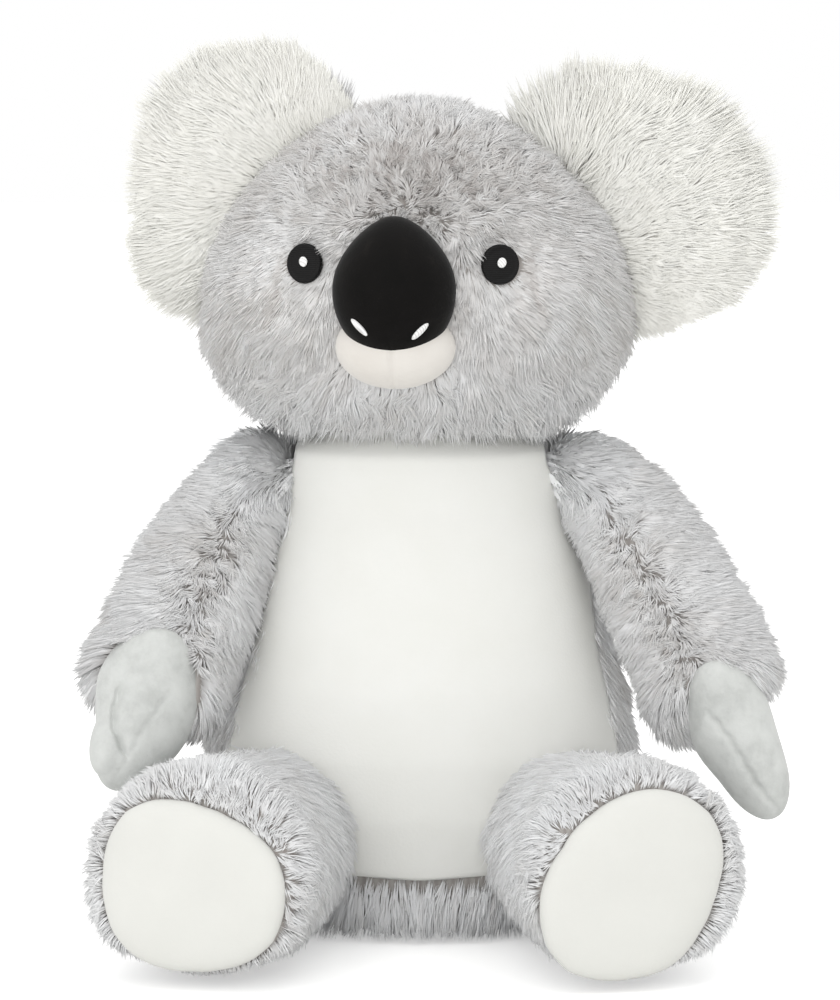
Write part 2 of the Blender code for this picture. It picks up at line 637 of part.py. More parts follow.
# The body's skins and pod leave room for the limbs' balls, the zip and the table
cut(body_plush, torso_hollow, panel_opening, *hip_balls, *shoulder_sockets, zip_slot, floor_cut)
cut(tummy_panel, *hip_balls, *shoulder_sockets)
cut(body_pod, *hip_balls, *shoulder_sockets)

# Head, in its own frame: turned about the neck, its base at zero height
HEAD_SIZE = (HEAD_WIDTH, HEAD_DEPTH, HEAD_HEIGHT)
neck = pivot("neck", (0.0, 0.0, HEAD_BASE), (0.0, 0.0, HEAD_TURN_DEG))
neck_socket_local = cutter(grown(neck_socket, "neck_dish"), "neck_dish")
head_shifts = [HEAD_FORWARD] * len(HEAD_SHARES)
head_form = cutter(upright_form("head_form", HEAD_SHARES, HEAD_SIZE, 0.0, head_shifts), "head_form", neck)
head_hollow = cutter(
    upright_form("head_hollow", HEAD_SHARES, HEAD_SIZE, 0.0, head_shifts, PILE_WALL), "head_hollow", neck)
head_skin = cutter(grown(head_form, "head_skin", SEAM_GAP), "head_skin", neck)


def surface_of(form):
    """A tree of a form's faces for finding places on its skin."""
    grid = bmesh.new()
    grid.from_mesh(form.data)
    tree = BVHTree.FromBMesh(grid)
    grid.free()
    return tree


def front_of(tree, x, z):
    """The place and the outward normal where a form's front lies at x and z."""
    place, normal, _, _ = tree.ray_cast(Vector((x, -HEAD_DEPTH, z)), Vector((0.0, 1.0, 0.0)))
    return place, normal


def facing(place, normal, spin_deg=0.0):
    """A matrix that turns -Y to a normal, at a place, after a spin about that axis."""
    turn = Vector((0.0, -1.0, 0.0)).rotation_difference(normal).to_matrix().to_4x4()
    return Matrix.Translation(place) @ turn @ Matrix.Rotation(math.radians(spin_deg), 4, "Y")


def placed(obj, matrix):
    """Bake a matrix into an object's mesh."""
    obj.data.transform(matrix)
    return obj


head_tree = surface_of(head_form)
head_plush = part(grown(head_form, "head_plush"), "head_plush", GREY_PLUSH, neck)
cut(head_plush, head_hollow, neck_socket_local)
head_fill = part(
    upright_form("head_stuffing", HEAD_SHARES, HEAD_SIZE, 0.0, head_shifts, PILE_WALL + STUFFING_GAP),
    "head_stuffing", FIBRE_FILL, neck)
cut(head_fill, neck_socket_local)

# Nose: a bulging black velour pad with satin-stitched nostrils, over a velour chin
nose_place, _ = front_of(head_tree, 0.0, NOSE_LIFT)
nose = ball("nose", (NOSE_WIDTH, NOSE_DEPTH, NOSE_HEIGHT), nose_place + Vector((0.0, NOSE_SINK, 0.0)),
            LIMB_SIDES, SMALL_SIDES)
nose = part(nose, "nose_velour", BLACK_VELOUR, neck)
nose_skin = cutter(grown(nose, "nose_skin", SEAM_GAP), "nose_skin", neck)
nose_tree = surface_of(nose)
cut(nose, head_skin)

chin_place, _ = front_of(head_tree, 0.0, CHIN_LIFT)
chin = ball("chin", (CHIN_WIDTH, CHIN_DEPTH, CHIN_HEIGHT), chin_place + Vector((0.0, CHIN_SINK, 0.0)),
            LIMB_SIDES, SMALL_SIDES)
chin = part(chin, "chin_velour", CHIN_VELOUR, neck)
cut(chin, head_skin, nose_skin)

for side, word in ((-1, "left"), (1, "right")):
    place, normal = front_of(nose_tree, side * NOSTRIL_SPACING / 2, NOSE_LIFT - NOSTRIL_DROP)
    stitch = ball("nostril", (NOSTRIL_LENGTH, THREAD_THICKNESS, NOSTRIL_WIDTH), (0.0, 0.0, 0.0),
                  STITCH_SIDES)
    lifted = place + normal * (THREAD_THICKNESS / 2 + SEAM_GAP)
    part(placed(stitch, facing(lifted, normal, side * NOSTRIL_SLANT_DEG)), f"nostril_{word}",
         WHITE_THREAD, neck)

# Eyes: embroidered discs at the bottom of shallow dimples, with a white highlight each
EYE_RING_SHARES = (0.45, 0.8, 1.0)


def eye_disc(name):
    """A thin disc that follows the floor of its dimple, facing -Y, the floor's middle at the origin."""
    back = EYE_SOCKET_RADIUS - 2 * SEAM_GAP
    front = back - EYE_THICKNESS

    def ring(radius, share):
        across = share * EYE_DIAMETER / 2
        depth = EYE_SOCKET_RADIUS - math.sqrt(radius ** 2 - across ** 2)
        return Vector((0.0, -depth, 0.0)), Vector((across, 0.0, 0.0)), Vector((0.0, 0.0, across))

    rings = [ring(back, share) for share in EYE_RING_SHARES]
    rings += [ring(front, share) for share in reversed(EYE_RING_SHARES)]
    start = Vector((0.0, back - EYE_SOCKET_RADIUS, 0.0))
    return loft(name, rings, LIMB_SIDES, start, Vector((0.0, front - EYE_SOCKET_RADIUS, 0.0)))


for side, word in ((-1, "left"), (1, "right")):
    place, normal = front_of(head_tree, side * EYE_SPACING / 2, EYE_LIFT)
    centre = place + normal * (EYE_SOCKET_RADIUS - EYE_SOCKET_DEPTH)
    floor = place - normal * EYE_SOCKET_DEPTH
    socket_size = [2 * EYE_SOCKET_RADIUS] * 3
    socket = ball("eye_socket", socket_size, (0.0, 0.0, 0.0), BODY_SIDES, SMALL_SIDES)
    cut(head_plush, cutter(placed(socket, facing(centre, normal)), f"eye_socket_{word}", neck))
    part(placed(eye_disc("eye"), facing(floor, normal)), f"eye_{word}", BLACK_THREAD, neck)
    dot = ball("highlight", (HIGHLIGHT_DIAMETER, THREAD_THICKNESS, HIGHLIGHT_DIAMETER), (0.0, 0.0, 0.0),
               STITCH_SIDES)
    rise = 3 * SEAM_GAP + EYE_THICKNESS + THREAD_THICKNESS / 2
    spot = floor + normal * rise + Vector((0.0, 0.0, HIGHLIGHT_SHIFT))
    part(placed(dot, facing(spot, normal)), f"eye_{word}_highlight", WHITE_THREAD, neck)

# Ears: a long-piled front and a plush back, flexing on a rolled root that is sewn into the head
for side, word, seat_height, reach, slant_deg in (
        (-1, "left", EAR_SEAT_LEFT, EAR_REACH_LEFT, EAR_SLANT_LEFT_DEG),
        (1, "right", EAR_SEAT_RIGHT, EAR_REACH_RIGHT, EAR_SLANT_RIGHT_DEG)):
    outside = Vector((side * HEAD_WIDTH, EAR_SEAT_BACK - HEAD_FORWARD, seat_height))
    seat, _, _, _ = head_tree.ray_cast(outside, Vector((-side, 0.0, 0.0)))
    ear = pivot(f"ear_{word}_seam", seat, (0.0, -side * slant_deg, 0.0), neck)
    slant = Matrix.Rotation(math.radians(-side * slant_deg), 4, "Y")
    hinge_axis = (slant @ Vector((0.0, 0.0, 1.0))).normalized()
    swept = swept_hull(head_skin, f"ear_limit_{word}", seat, hinge_axis,
                       (-EAR_FLEX_DEG, 0.0, EAR_FLEX_DEG))
    root = cutter(rod("ear_root", EAR_ROOT_RADIUS, EAR_ROOT_LENGTH), f"ear_root_{word}", ear)
    cut(swept, root)
    root_seat = rod("ear_root_seat", EAR_ROOT_RADIUS + SEAM_GAP, EAR_ROOT_LENGTH + 2 * SEAM_GAP)
    cut(head_plush, cutter(root_seat, f"ear_root_seat_{word}", ear))
    for face, front in (("front", True), ("back", False)):
        flap = ball("ear", (EAR_WIDTH, EAR_THICKNESS, EAR_LENGTH),
                    (side * (reach - EAR_WIDTH / 2), 0.0, 0.0), EAR_SIDES, SMALL_SIDES)
        grid = bmesh.new()
        grid.from_mesh(flap.data)
        share = -SEAM_GAP / 2 if front else SEAM_GAP / 2
        halves = bmesh.ops.bisect_plane(
            grid, geom=grid.verts[:] + grid.edges[:] + grid.faces[:], plane_co=(0.0, share, 0.0),
            plane_no=(0.0, 1.0, 0.0), clear_outer=front, clear_inner=not front)
        rim = [item for item in halves["geom_cut"] if isinstance(item, bmesh.types.BMEdge)]
        bmesh.ops.contextual_create(grid, geom=rim)
        bpy.data.objects.remove(flap, do_unlink=True)
        made = part(mesh_object("ear_half", grid), f"ear_{word}_{face}",
                    WHITE_PILE if front else GREY_PLUSH, ear)
        cut(made, swept)
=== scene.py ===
"""Seated plush koala with a blank tummy: every skin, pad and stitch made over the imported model.

Metres, +Z up, the face towards -Y. The file follows the toy as it is sewn and filled, from the body to the ears.
"""

import math

import bmesh
import bpy
import numpy as np
from mathutils import Matrix, Vector
from mathutils.kdtree import KDTree


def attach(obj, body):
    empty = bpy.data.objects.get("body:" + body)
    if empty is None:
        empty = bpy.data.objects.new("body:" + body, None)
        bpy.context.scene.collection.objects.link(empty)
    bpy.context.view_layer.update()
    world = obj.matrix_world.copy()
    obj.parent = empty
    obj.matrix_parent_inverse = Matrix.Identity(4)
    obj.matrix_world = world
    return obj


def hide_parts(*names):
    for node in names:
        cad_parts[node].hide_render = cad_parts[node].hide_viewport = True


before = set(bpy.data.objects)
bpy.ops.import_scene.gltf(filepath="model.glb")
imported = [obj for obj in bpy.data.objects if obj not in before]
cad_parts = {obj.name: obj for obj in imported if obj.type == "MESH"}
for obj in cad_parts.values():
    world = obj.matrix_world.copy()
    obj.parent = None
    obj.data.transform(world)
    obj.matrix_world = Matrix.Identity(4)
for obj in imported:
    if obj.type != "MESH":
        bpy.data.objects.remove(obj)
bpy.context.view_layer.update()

# Body skin
# An egg-shaped tube of long-pile plush, sewn shut under the head and at the seat. The knitted backing is a
# dark warm grey, and the pile over it is 12 to 14 mm of crimped polyester with paler tips.


def hex_colour(text):
    """An sRGB hex colour as a linear one."""
    parts = [int(text[i:i + 2], 16) / 255 for i in (0, 2, 4)]
    return [c / 12.92 if c <= 0.04045 else ((c + 0.055) / 1.055) ** 2.4 for c in parts] + [1.0]


def add_node(material, kind, settings=None, links=None):
    """Add a node with its settings and its links, given as input: (node, output)."""
    node = material.node_tree.nodes.new(kind)
    for name, value in (settings or {}).items():
        if isinstance(name, int) or name in node.inputs:
            node.inputs[name].default_value = value
        else:
            setattr(node, name, value)
    for name, (source, output) in (links or {}).items():
        material.node_tree.links.new(source.outputs[output], node.inputs[name])
    return node


def new_material(name, settings):
    """A material with its Principled shader set."""
    made = bpy.data.materials.new(name)
    made.use_nodes = True
    shader = made.node_tree.nodes["Principled BSDF"]
    for key, value in settings.items():
        shader.inputs[key].default_value = value
    return made, shader


def set_ramp(node, stops):
    """Give a colour ramp its stops of (place, hex colour)."""
    ramp = node.color_ramp
    while len(ramp.elements) > len(stops):
        ramp.elements.remove(ramp.elements[-1])
    while len(ramp.elements) < len(stops):
        ramp.elements.new(1.0)
    for element, (place, colour) in zip(ramp.elements, stops):
        element.position = place
        element.color = hex_colour(colour)


def patterned(name, settings, kind, pattern, tones, bump=None, nap=None):
    """A finish whose tones follow a pattern, with a bump from that pattern or from a finer nap."""
    made, shader = new_material(name, settings)
    place = add_node(made, "ShaderNodeTexCoord")
    marks = add_node(made, kind, pattern, {"Vector": (place, "Object")})
    tone = add_node(made, "ShaderNodeValToRGB", links={"Fac": (marks, "Fac")})
    set_ramp(tone, tones)
    made.node_tree.links.new(tone.outputs["Color"], shader.inputs["Base Color"])
    if nap:
        marks = add_node(made, "ShaderNodeTexNoise", nap, {"Vector": (place, "Object")})
    if bump:
        raised = add_node(made, "ShaderNodeBump", bump, {"Height": (marks, "Fac")})
        made.node_tree.links.new(raised.outputs["Normal"], shader.inputs["Normal"])
    return made


def pile_material(name, tones, root_tones, sheen):
    """Crimped polyester pile: one tone a lock, read along the map's u, and darker at its root, along v."""
    made, shader = new_material(name, {"Roughness": 0.85, "Sheen Weight": sheen, "Sheen Roughness": 0.5,
                                       "Specular IOR Level": 0.2})
    place = add_node(made, "ShaderNodeUVMap", {"uv_map": "pile"})
    split = add_node(made, "ShaderNodeSeparateXYZ", links={"Vector": (place, "UV")})
    tip = add_node(made, "ShaderNodeValToRGB", links={"Fac": (split, "X")})
    set_ramp(tip, tones)
    root = add_node(made, "ShaderNodeValToRGB", links={"Fac": (split, "X")})
    set_ramp(root, root_tones)
    share = add_node(made, "ShaderNodeMapRange", {"From Min": 0.02, "From Max": 0.42}, {"Value": (split, "Y")})
    mixed = add_node(made, "ShaderNodeMix", {"data_type": "RGBA"}, {"Factor": (share, "Result")})
    links = made.node_tree.links
    links.new(root.outputs["Color"], mixed.inputs[6])
    links.new(tip.outputs["Color"], mixed.inputs[7])
    links.new(mixed.outputs[2], shader.inputs["Base Color"])
    return made


# Long-pile polyester plush, heather grey: soft, matt, paler at the tips, warm and dark where it parts.
GREY_PILE = pile_material(
    "heather grey polyester pile",
    [(0.0, "BEB9B6"), (0.3, "DBD9D7"), (0.6, "E9E9E9"), (1.0, "F2F3F4")],
    [(0.0, "9A928D"), (0.4, "BFBBB8"), (1.0, "DAD8D6")], 0.3)

# Knitted polyester backing of the plush, matt, seen only where the pile parts. Its 1.5 mm courses are drawn 3 mm
# apart, so that they show.
BACKING = patterned("knitted polyester backing", {"Roughness": 0.95}, "ShaderNodeTexWave",
                    {"Scale": 105.0, "Distortion": 3.0}, [(0.0, "A39D99"), (1.0, "B5B1AD")])


def applied(form, kind, **settings):
    """Give the active form a modifier with its settings, and apply it."""
    shaper = form.modifiers.new(kind.lower(), kind)
    for key, value in settings.items():
        setattr(shaper, key, value)
    bpy.ops.object.modifier_apply(modifier=shaper.name)


def stacked_rings(name, rows, sides):
    """Raise a circle row by row into a closed form. A row is x, y, z, half width, half depth."""
    bpy.ops.object.select_all(action="DESELECT")
    bpy.ops.mesh.primitive_circle_add(vertices=sides, radius=1.0, fill_type="NGON")
    form = bpy.context.object
    form.name = name
    form.data.name = name
    bpy.ops.object.mode_set(mode="EDIT")
    x, y, z, wide, deep = rows[0]
    bpy.ops.transform.resize(value=(wide, deep, 1.0), center_override=(0.0, 0.0, 0.0))
    bpy.ops.transform.translate(value=(x, y, z))
    for last, row in zip(rows, rows[1:]):
        bpy.ops.mesh.extrude_region_move(
            TRANSFORM_OT_translate={"value": [row[i] - last[i] for i in range(3)]})
        bpy.ops.transform.resize(value=(row[3] / last[3], row[4] / last[4], 1.0), center_override=row[:3])
    bpy.ops.mesh.select_all(action="SELECT")
    bpy.ops.mesh.normals_make_consistent(inside=False)
    bpy.ops.object.mode_set(mode="OBJECT")
    applied(form, "SUBSURF", levels=1, render_levels=1)
    bpy.ops.object.shade_smooth()
    return form


def inset_rows(shares, size, base, inset, shifts):
    """Rows of a form from its shares of height, half width and half depth, drawn in by an inset."""
    width, depth, height = size
    squeeze = 1.0 - 2 * inset / height
    return [(0.0, -shift, base + inset + up * height * squeeze,
             wide * width / 2 - inset, deep * depth / 2 - inset)
            for (up, wide, deep), shift in zip(shares, shifts)]


def drift(points, size, seed):
    """Smooth values of about -1 to 1 that change over a size."""
    rng = np.random.default_rng(seed)
    waves = rng.normal(size=(9, 3)) * 2 * math.pi / size / 1.7
    phases = rng.uniform(0.0, 2 * math.pi, 9)
    return np.sin(points @ waves.T + phases).mean(axis=1) * 2.0


def unit(vectors):
    """Vectors at length one."""
    return vectors / np.maximum(np.linalg.norm(vectors, axis=1, keepdims=True), 1e-9)


def scatter(skin, count, rng, crowd):
    """Places and normals spread evenly over a skin, as densely as crowd says."""
    mesh = skin.data
    mesh.calc_loop_triangles()
    corners = np.empty(len(mesh.loop_triangles) * 3, np.int32)
    mesh.loop_triangles.foreach_get("vertices", corners)
    places = np.empty(len(mesh.vertices) * 3)
    mesh.vertices.foreach_get("co", places)
    normals = np.empty(len(mesh.vertices) * 3, np.float32)
    mesh.vertices.foreach_get("normal", normals)
    triangles = places.reshape(-1, 3)[corners.reshape(-1, 3)]
    leans = normals.reshape(-1, 3)[corners.reshape(-1, 3)]
    across = np.cross(triangles[:, 1] - triangles[:, 0], triangles[:, 2] - triangles[:, 0])
    weight = np.linalg.norm(across, axis=1)
    weight = weight * np.maximum(crowd(triangles.mean(axis=1), unit(leans.mean(axis=1))), 0.0)
    reach = np.cumsum(weight) / weight.sum()
    picked = np.searchsorted(reach, (np.arange(count) + rng.random(count)) / count).clip(0, len(weight) - 1)
    first, second = rng.random(count), rng.random(count)
    fold = first + second > 1
    first, second = np.where(fold, 1 - first, first), np.where(fold, 1 - second, second)
    shares = np.stack((1 - first - second, first, second), axis=1)[:, :, None]
    return (triangles[picked] * shares).sum(axis=1), unit((leans[picked] * shares).sum(axis=1))


def grow_pile(name, skin, material, count, length, comb, lift, width, crowd, keep, tone, scale, ruffle=None,
              clump=16, pull=0.4, sag=0.0, seed=1, turn=None, facing=None):
    """Locks of pile rooted on a skin: each is a slim closed sliver, bent once and drawn to its clump.

    comb gives the way the pile lies, lift its two angles off the skin, crowd a density, keep which roots stay,
    tone a shade from 0 to 1, scale a share of the length and ruffle how far it is rubbed up from 0 to 1. Each of
    them takes places and normals. turn is the matrix that the skin gets later, and facing the way that the locks
    of a thin flap look. A lock's top and its two under sides share no corner, so each keeps its own normals.
    """
    bend, beyond = 0.42, 0.58
    sunk = 0.0006
    rng = np.random.default_rng(seed)
    roots, normals = scatter(skin, count, rng, crowd)
    centres, centre_normals = scatter(skin, max(count // clump, 4), rng, crowd)
    kept = keep(roots, normals)
    roots, normals = roots[kept], normals[kept]
    count = len(roots)

    tree = KDTree(len(centres))
    for index, centre in enumerate(centres):
        tree.insert(centre, index)
    tree.balance()
    nearest = np.array([tree.find(root)[1] for root in roots])

    def rubbed(points, leans):
        return ruffle(points, leans) if ruffle else np.zeros(len(points))

    def laid(points, leans, wobble):
        flow = comb(points, leans)
        flow = unit(flow - leans * (flow * leans).sum(axis=1, keepdims=True))
        swirl = 0.40 * drift(points, 0.024, seed) + 0.25 * drift(points, 0.008, seed + 1) + wobble
        swirl = swirl + rubbed(points, leans) * 2.4 * drift(points, 0.0050, seed + 3)
        side = np.cross(leans, flow)
        return flow * np.cos(swirl)[:, None] + side * np.sin(swirl)[:, None]

    def path(points, leans, flow, sizes, tilt):
        low, high = lift(points, leans)
        raised = rubbed(points, leans)
        tilt = tilt + 0.10 * drift(points, 0.010, seed + 4)
        tilt = tilt + raised * (0.34 + 0.28 * drift(points, 0.0045, seed + 6))
        low, high = np.radians(low) + tilt, np.radians(high) + tilt
        middle = points + (bend * sizes)[:, None] * (flow * np.cos(low)[:, None] + leans * np.sin(low)[:, None])
        end = middle + (beyond * sizes)[:, None] * (flow * np.cos(high)[:, None] + leans * np.sin(high)[:, None])
        return middle, end

    raised = rubbed(roots, normals)
    share = scale(roots, normals) * (1 - 0.40 * raised) * (1 + 0.10 * drift(roots, 0.008, seed + 7))
    sizes = length * share * rng.uniform(0.74, 1.12, count)
    centre_flow = laid(centres, centre_normals, rng.normal(0.0, 0.22, len(centres)))
    centre_share = scale(centres, centre_normals) * (1 - 0.40 * rubbed(centres, centre_normals))
    centre_sizes = length * centre_share * rng.uniform(0.85, 1.1, len(centres))
    centre_middle, centre_end = path(centres, centre_normals, centre_flow, centre_sizes,
                                     rng.normal(0.0, 0.10, len(centres)))
    flow = laid(roots, normals, rng.normal(0.0, 0.16, count))
    middle, end = path(roots, normals, flow, sizes, rng.normal(0.0, 0.10, count))
    offset = roots - centres[nearest]
    reach = (sizes / centre_sizes[nearest]).clip(0.5, 1.3)[:, None]
    target = centres[nearest] + (centre_end[nearest] - centres[nearest]) * reach + 0.30 * offset
    target_middle = centres[nearest] + (centre_middle[nearest] - centres[nearest]) * reach + 0.75 * offset
    near = np.exp(-(np.linalg.norm(offset, axis=1) / 0.006) ** 2)[:, None]
    end = end + (target - end) * pull * near
    middle = middle + (target_middle - middle) * pull * near
    end[:, 2] -= sag * sizes

    shade = tone(roots, normals) if tone else np.full(count, 0.55)
    shade = shade + 0.05 * rng.normal(size=len(centres))[nearest] + 0.05 * rng.normal(size=count)
    shade = shade + 0.09 * drift(roots, 0.022, seed + 2)
    shade = (shade - raised * (0.05 + 0.36 * np.maximum(drift(roots, 0.0045, seed + 5), 0))).clip(0.02, 0.98)

    if facing is not None:
        normals = unit(normals + np.array(facing))
    along = unit(end - roots)
    side = unit(np.cross(along, normals))
    up = unit(np.cross(side, along))
    half = (width / 2 * rng.uniform(0.75, 1.25, count))[:, None]
    bow = ((middle - roots) * up).sum(axis=1)
    middle = middle + up * np.maximum(0.04 * sizes - bow, 0.0)[:, None]
    sheets = [0, 1, 2, 3, 0, 1, 3, 0, 3, 2]
    points = np.stack((roots - normals * sunk, middle - side * half, middle + side * half, end), axis=1)
    points = points[:, sheets]
    heights, widths = np.array([0.0, bend, bend, 1.0])[sheets], np.array([0.0, -1.0, 1.0, 0.0])[sheets]
    faces = np.array(((4, 5, 6), (7, 8, 9), (0, 2, 1), (3, 1, 2)))

    number = len(heights)
    corners = (faces.ravel()[None, :] + number * np.arange(count)[:, None]).ravel()
    if turn is not None:
        matrix = np.array(turn)
        points = points @ matrix[:3, :3].T + matrix[:3, 3]
        normals, up = normals @ matrix[:3, :3].T, up @ matrix[:3, :3].T
    points[:, :, 2] = np.maximum(points[:, :, 2], 0.0004 + 0.0006 * rng.random((count, 1)))
    flat = points.reshape(-1, 3)
    shape = flat[corners].reshape(-1, 3, 3)
    fronts = unit(np.cross(shape[:, 1] - shape[:, 0], shape[:, 2] - shape[:, 0]))
    even = 0.6 if facing is None else 0.85
    leans = np.repeat(unit(even * normals + (1 - even) * up), len(faces), axis=0)
    soft = unit(0.93 * leans + 0.07 * fronts)
    against = (soft * fronts).sum(axis=1) < 0.05
    soft[against] = fronts[against]

    mesh = bpy.data.meshes.new(name)
    mesh.vertices.add(len(flat))
    mesh.vertices.foreach_set("co", flat.astype(np.float32).ravel())
    mesh.loops.add(len(corners))
    mesh.loops.foreach_set("vertex_index", corners.astype(np.int32))
    mesh.polygons.add(len(corners) // 3)
    mesh.polygons.foreach_set("loop_start", np.arange(0, len(corners), 3, dtype=np.int32))
    mesh.update(calc_edges=True)
    mesh.polygons.foreach_set("use_smooth", np.ones(len(corners) // 3, dtype=bool))
    column = shade[:, None] + 0.012 * widths[None, :]
    across = np.stack((column, np.broadcast_to(heights * 0.96 + 0.02, column.shape)), axis=2)
    across = across.reshape(-1, 2)[corners].astype(np.float32).ravel()
    for layer in ("pile", "OFBake"):
        mesh.uv_layers.new(name=layer).uv.foreach_set("vector", across)
    bent = mesh.attributes.new("custom_normal", "FLOAT_VECTOR", "CORNER")
    bent.data.foreach_set("vector", np.repeat(soft, 3, axis=0).astype(np.float32).ravel())
    mesh.materials.append(material)
    pile = bpy.data.objects.new(name, mesh)
    bpy.context.scene.collection.objects.link(pile)
    return pile


def dress(piece, body, node):
    """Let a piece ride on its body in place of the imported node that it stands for."""
    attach(piece, body)
    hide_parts(node)


TORSO = (0.168, 0.132, 0.185)
TORSO_SHARES = (
    (0.000, 0.62, 0.62), (0.013, 0.80, 0.80), (0.055, 0.905, 0.905), (0.135, 0.96, 0.965),
    (0.250, 1.00, 1.00), (0.370, 1.00, 1.00), (0.510, 0.945, 0.96), (0.640, 0.865, 0.89),
    (0.775, 0.775, 0.80), (0.88, 0.70, 0.725), (0.955, 0.68, 0.71), (0.990, 0.66, 0.69), (1.025, 0.54, 0.58),
)
BELLY_SHIFTS = [0.005 * share for share in (0.2, 0.4, 0.7, 0.9, 1.0, 1.0, 0.8, 0.6, 0.3, 0.1, 0.0, 0.0, 0.0)]
TORSO_BASE = -0.0005
PANEL_SHARES = (
    (0.0, 1.03), (0.46, 1.025), (0.545, 1.00), (0.565, 0.945), (0.60, 0.86), (0.67, 0.72), (0.74, 0.58),
    (0.82, 0.45), (0.88, 0.34), (0.895, 0.26), (0.85, 0.20), (0.72, 0.165), (0.45, 0.145),
    (0.0, 0.135),
)
SKIN_INSET = 0.0062
panel_rise = np.array([row[1] * TORSO[2] for row in PANEL_SHARES])[::-1]
panel_reach = np.array([row[0] * TORSO[0] / 2 for row in PANEL_SHARES])[::-1]


def pulled(x, z):
    """How far the panel's right side is pulled round by the filling."""
    heights, reaches = (0.060, 0.075, 0.104, 0.130, 0.160, 0.175), (0.0, 0.0025, 0.0037, 0.0070, 0.0060, 0.0)
    return (x > 0) * np.interp(z, heights, reaches)


def panel_half(x, z):
    """Half the width of the tummy opening at each height."""
    return np.where((z < panel_rise[0]) | (z > panel_rise[-1]), -1.0,
                    np.interp(z, panel_rise, panel_reach) + pulled(x, z))


body_skin = stacked_rings("body_backing", inset_rows(TORSO_SHARES, TORSO, TORSO_BASE, SKIN_INSET, BELLY_SHIFTS), 40)
body_skin.data.materials.append(BACKING)


def body_comb(p, n):
    """Down the body, and outwards from the neck."""
    out = unit(p * (1, 1, 0))
    return np.array((0.0, 0.0, -1.0)) + out * (0.5 + 0.8 * np.maximum(n[:, 2:3], 0)) * (p[:, 2:3] > 0.02)


def body_lift(p, n):
    """Flat on the back, hanging to the table at the lower edge, and upright under the head."""
    edge = ((0.024 - p[:, 2]) / 0.012).clip(0, 1) * (n[:, 2] > -0.9)
    collar = ((p[:, 2] - 0.158) / 0.015).clip(0, 1)
    seat = n[:, 2] < -0.9
    sides = np.abs(n[:, 0]) ** 2 * 10
    return (np.where(seat, 26, 22 + sides + 44 * edge + 14 * collar),
            np.where(seat, 10, 7 + sides + 60 * edge + 12 * collar))


def body_keep(p, n):
    """No pile inside the tummy opening, round the zip or under the head."""
    in_panel = (p[:, 1] < 0) & (np.abs(p[:, 0]) < panel_half(p[:, 0], p[:, 2]) - 0.0042) & (p[:, 2] > 0.0268)
    at_zip = (n[:, 2] < 0) & (np.abs(p[:, 0]) < 0.0415) & (np.abs(p[:, 1] - 0.013) < 0.0075)
    under_chin = (p[:, 2] > 0.176) & (p[:, 1] < 0.01) & (np.abs(p[:, 0]) < 0.034)
    return ~in_panel & ~at_zip & ~under_chin


def painted_fold_shade(p):
    """Painted shade for the folds of the gathered band under the panel: 1 in the folds, 0 between them."""
    return (0.5 + 0.5 * np.cos(2 * math.pi * (p[:, 0] + 0.0012 * drift(p, 0.02, 5)) / 0.0072)) ** 2


def body_tone_and_shade(p, n):
    """Painted light on the band and under the head, and painted shade in the band's folds and low down."""
    band = ((p[:, 2] < 0.028) & (p[:, 1] < 0)).astype(float)
    low = ((0.009 - p[:, 2]) / 0.006).clip(0, 1)
    # Painted light lifts the band and the pile under the head, which lie in shade; painted shade darkens the band's
    # folds and its lowest part.
    return 0.58 + band * (0.44 - 0.36 * painted_fold_shade(p) - 0.20 * low) + 0.25 * (p[:, 2] > 0.160)


def body_scale(p, n):
    """Longer at the lower edge, and longest under the head."""
    return 1 + 0.20 * (p[:, 2] < 0.022) + 0.35 * (p[:, 2] > 0.160)


for part_name, count, seed, crowd in (
        ("body_pile_front", 27000, 11, lambda p, n: (p[:, 1] < 0.0) * (0.4 + 0.6 * (n[:, 2] > -0.6))
         * (np.abs(p[:, 0]) > panel_half(p[:, 0], p[:, 2]) - 0.014)),
        ("body_pile_back", 46000, 12, lambda p, n: (p[:, 1] >= 0.0) * (0.35 + 0.65 * (n[:, 2] > -0.6)))):
    pile = grow_pile(part_name, body_skin, GREY_PILE, count, 0.0130, body_comb, body_lift, 0.00045, crowd,
                     body_keep, body_tone_and_shade, body_scale, sag=0.05, seed=seed)
    dress(pile, "torso", "body_plush")
dress(body_skin, "torso", "body_plush")

# Filling
# Loose polyester fibre, blown in through the back seams and pushed up against the backing. The body's is a pod
# that comes out through the seat. None of it shows when the seams are shut.
FIBRE = patterned("loose polyester fibre", {"Roughness": 1.0, "Sheen Weight": 0.3}, "ShaderNodeTexNoise",
                  {"Scale": 120.0, "Detail": 8.0, "Distortion": 1.5}, [(0.3, "E4E4E1"), (0.7, "F6F6F4")],
                  {"Strength": 0.8, "Distance": 0.002})


def fill_skin(skin, body, node):
    """Lumpy filling that lies 2 to 4 mm inside a skin."""
    filling = skin.copy()
    filling.data = skin.data.copy()
    filling.name = node.replace("stuffing", "filling")
    filling.data.name = filling.name
    bpy.context.scene.collection.objects.link(filling)
    places = np.array([vert.co[:] for vert in filling.data.vertices])
    depth = 0.0030 + 0.0006 * drift(places, 0.018, 3)
    for vert, lean, deep in zip(filling.data.vertices, [v.normal.copy() for v in skin.data.vertices], depth):
        vert.co = vert.co - lean * float(deep)
    filling.data.materials.clear()
    filling.data.materials.append(FIBRE)
    filling.parent = None
    for key in list(filling.keys()):
        del filling[key]
    dress(filling, body, node)


fill_skin(body_skin, "torso", "body_stuffing_pod")

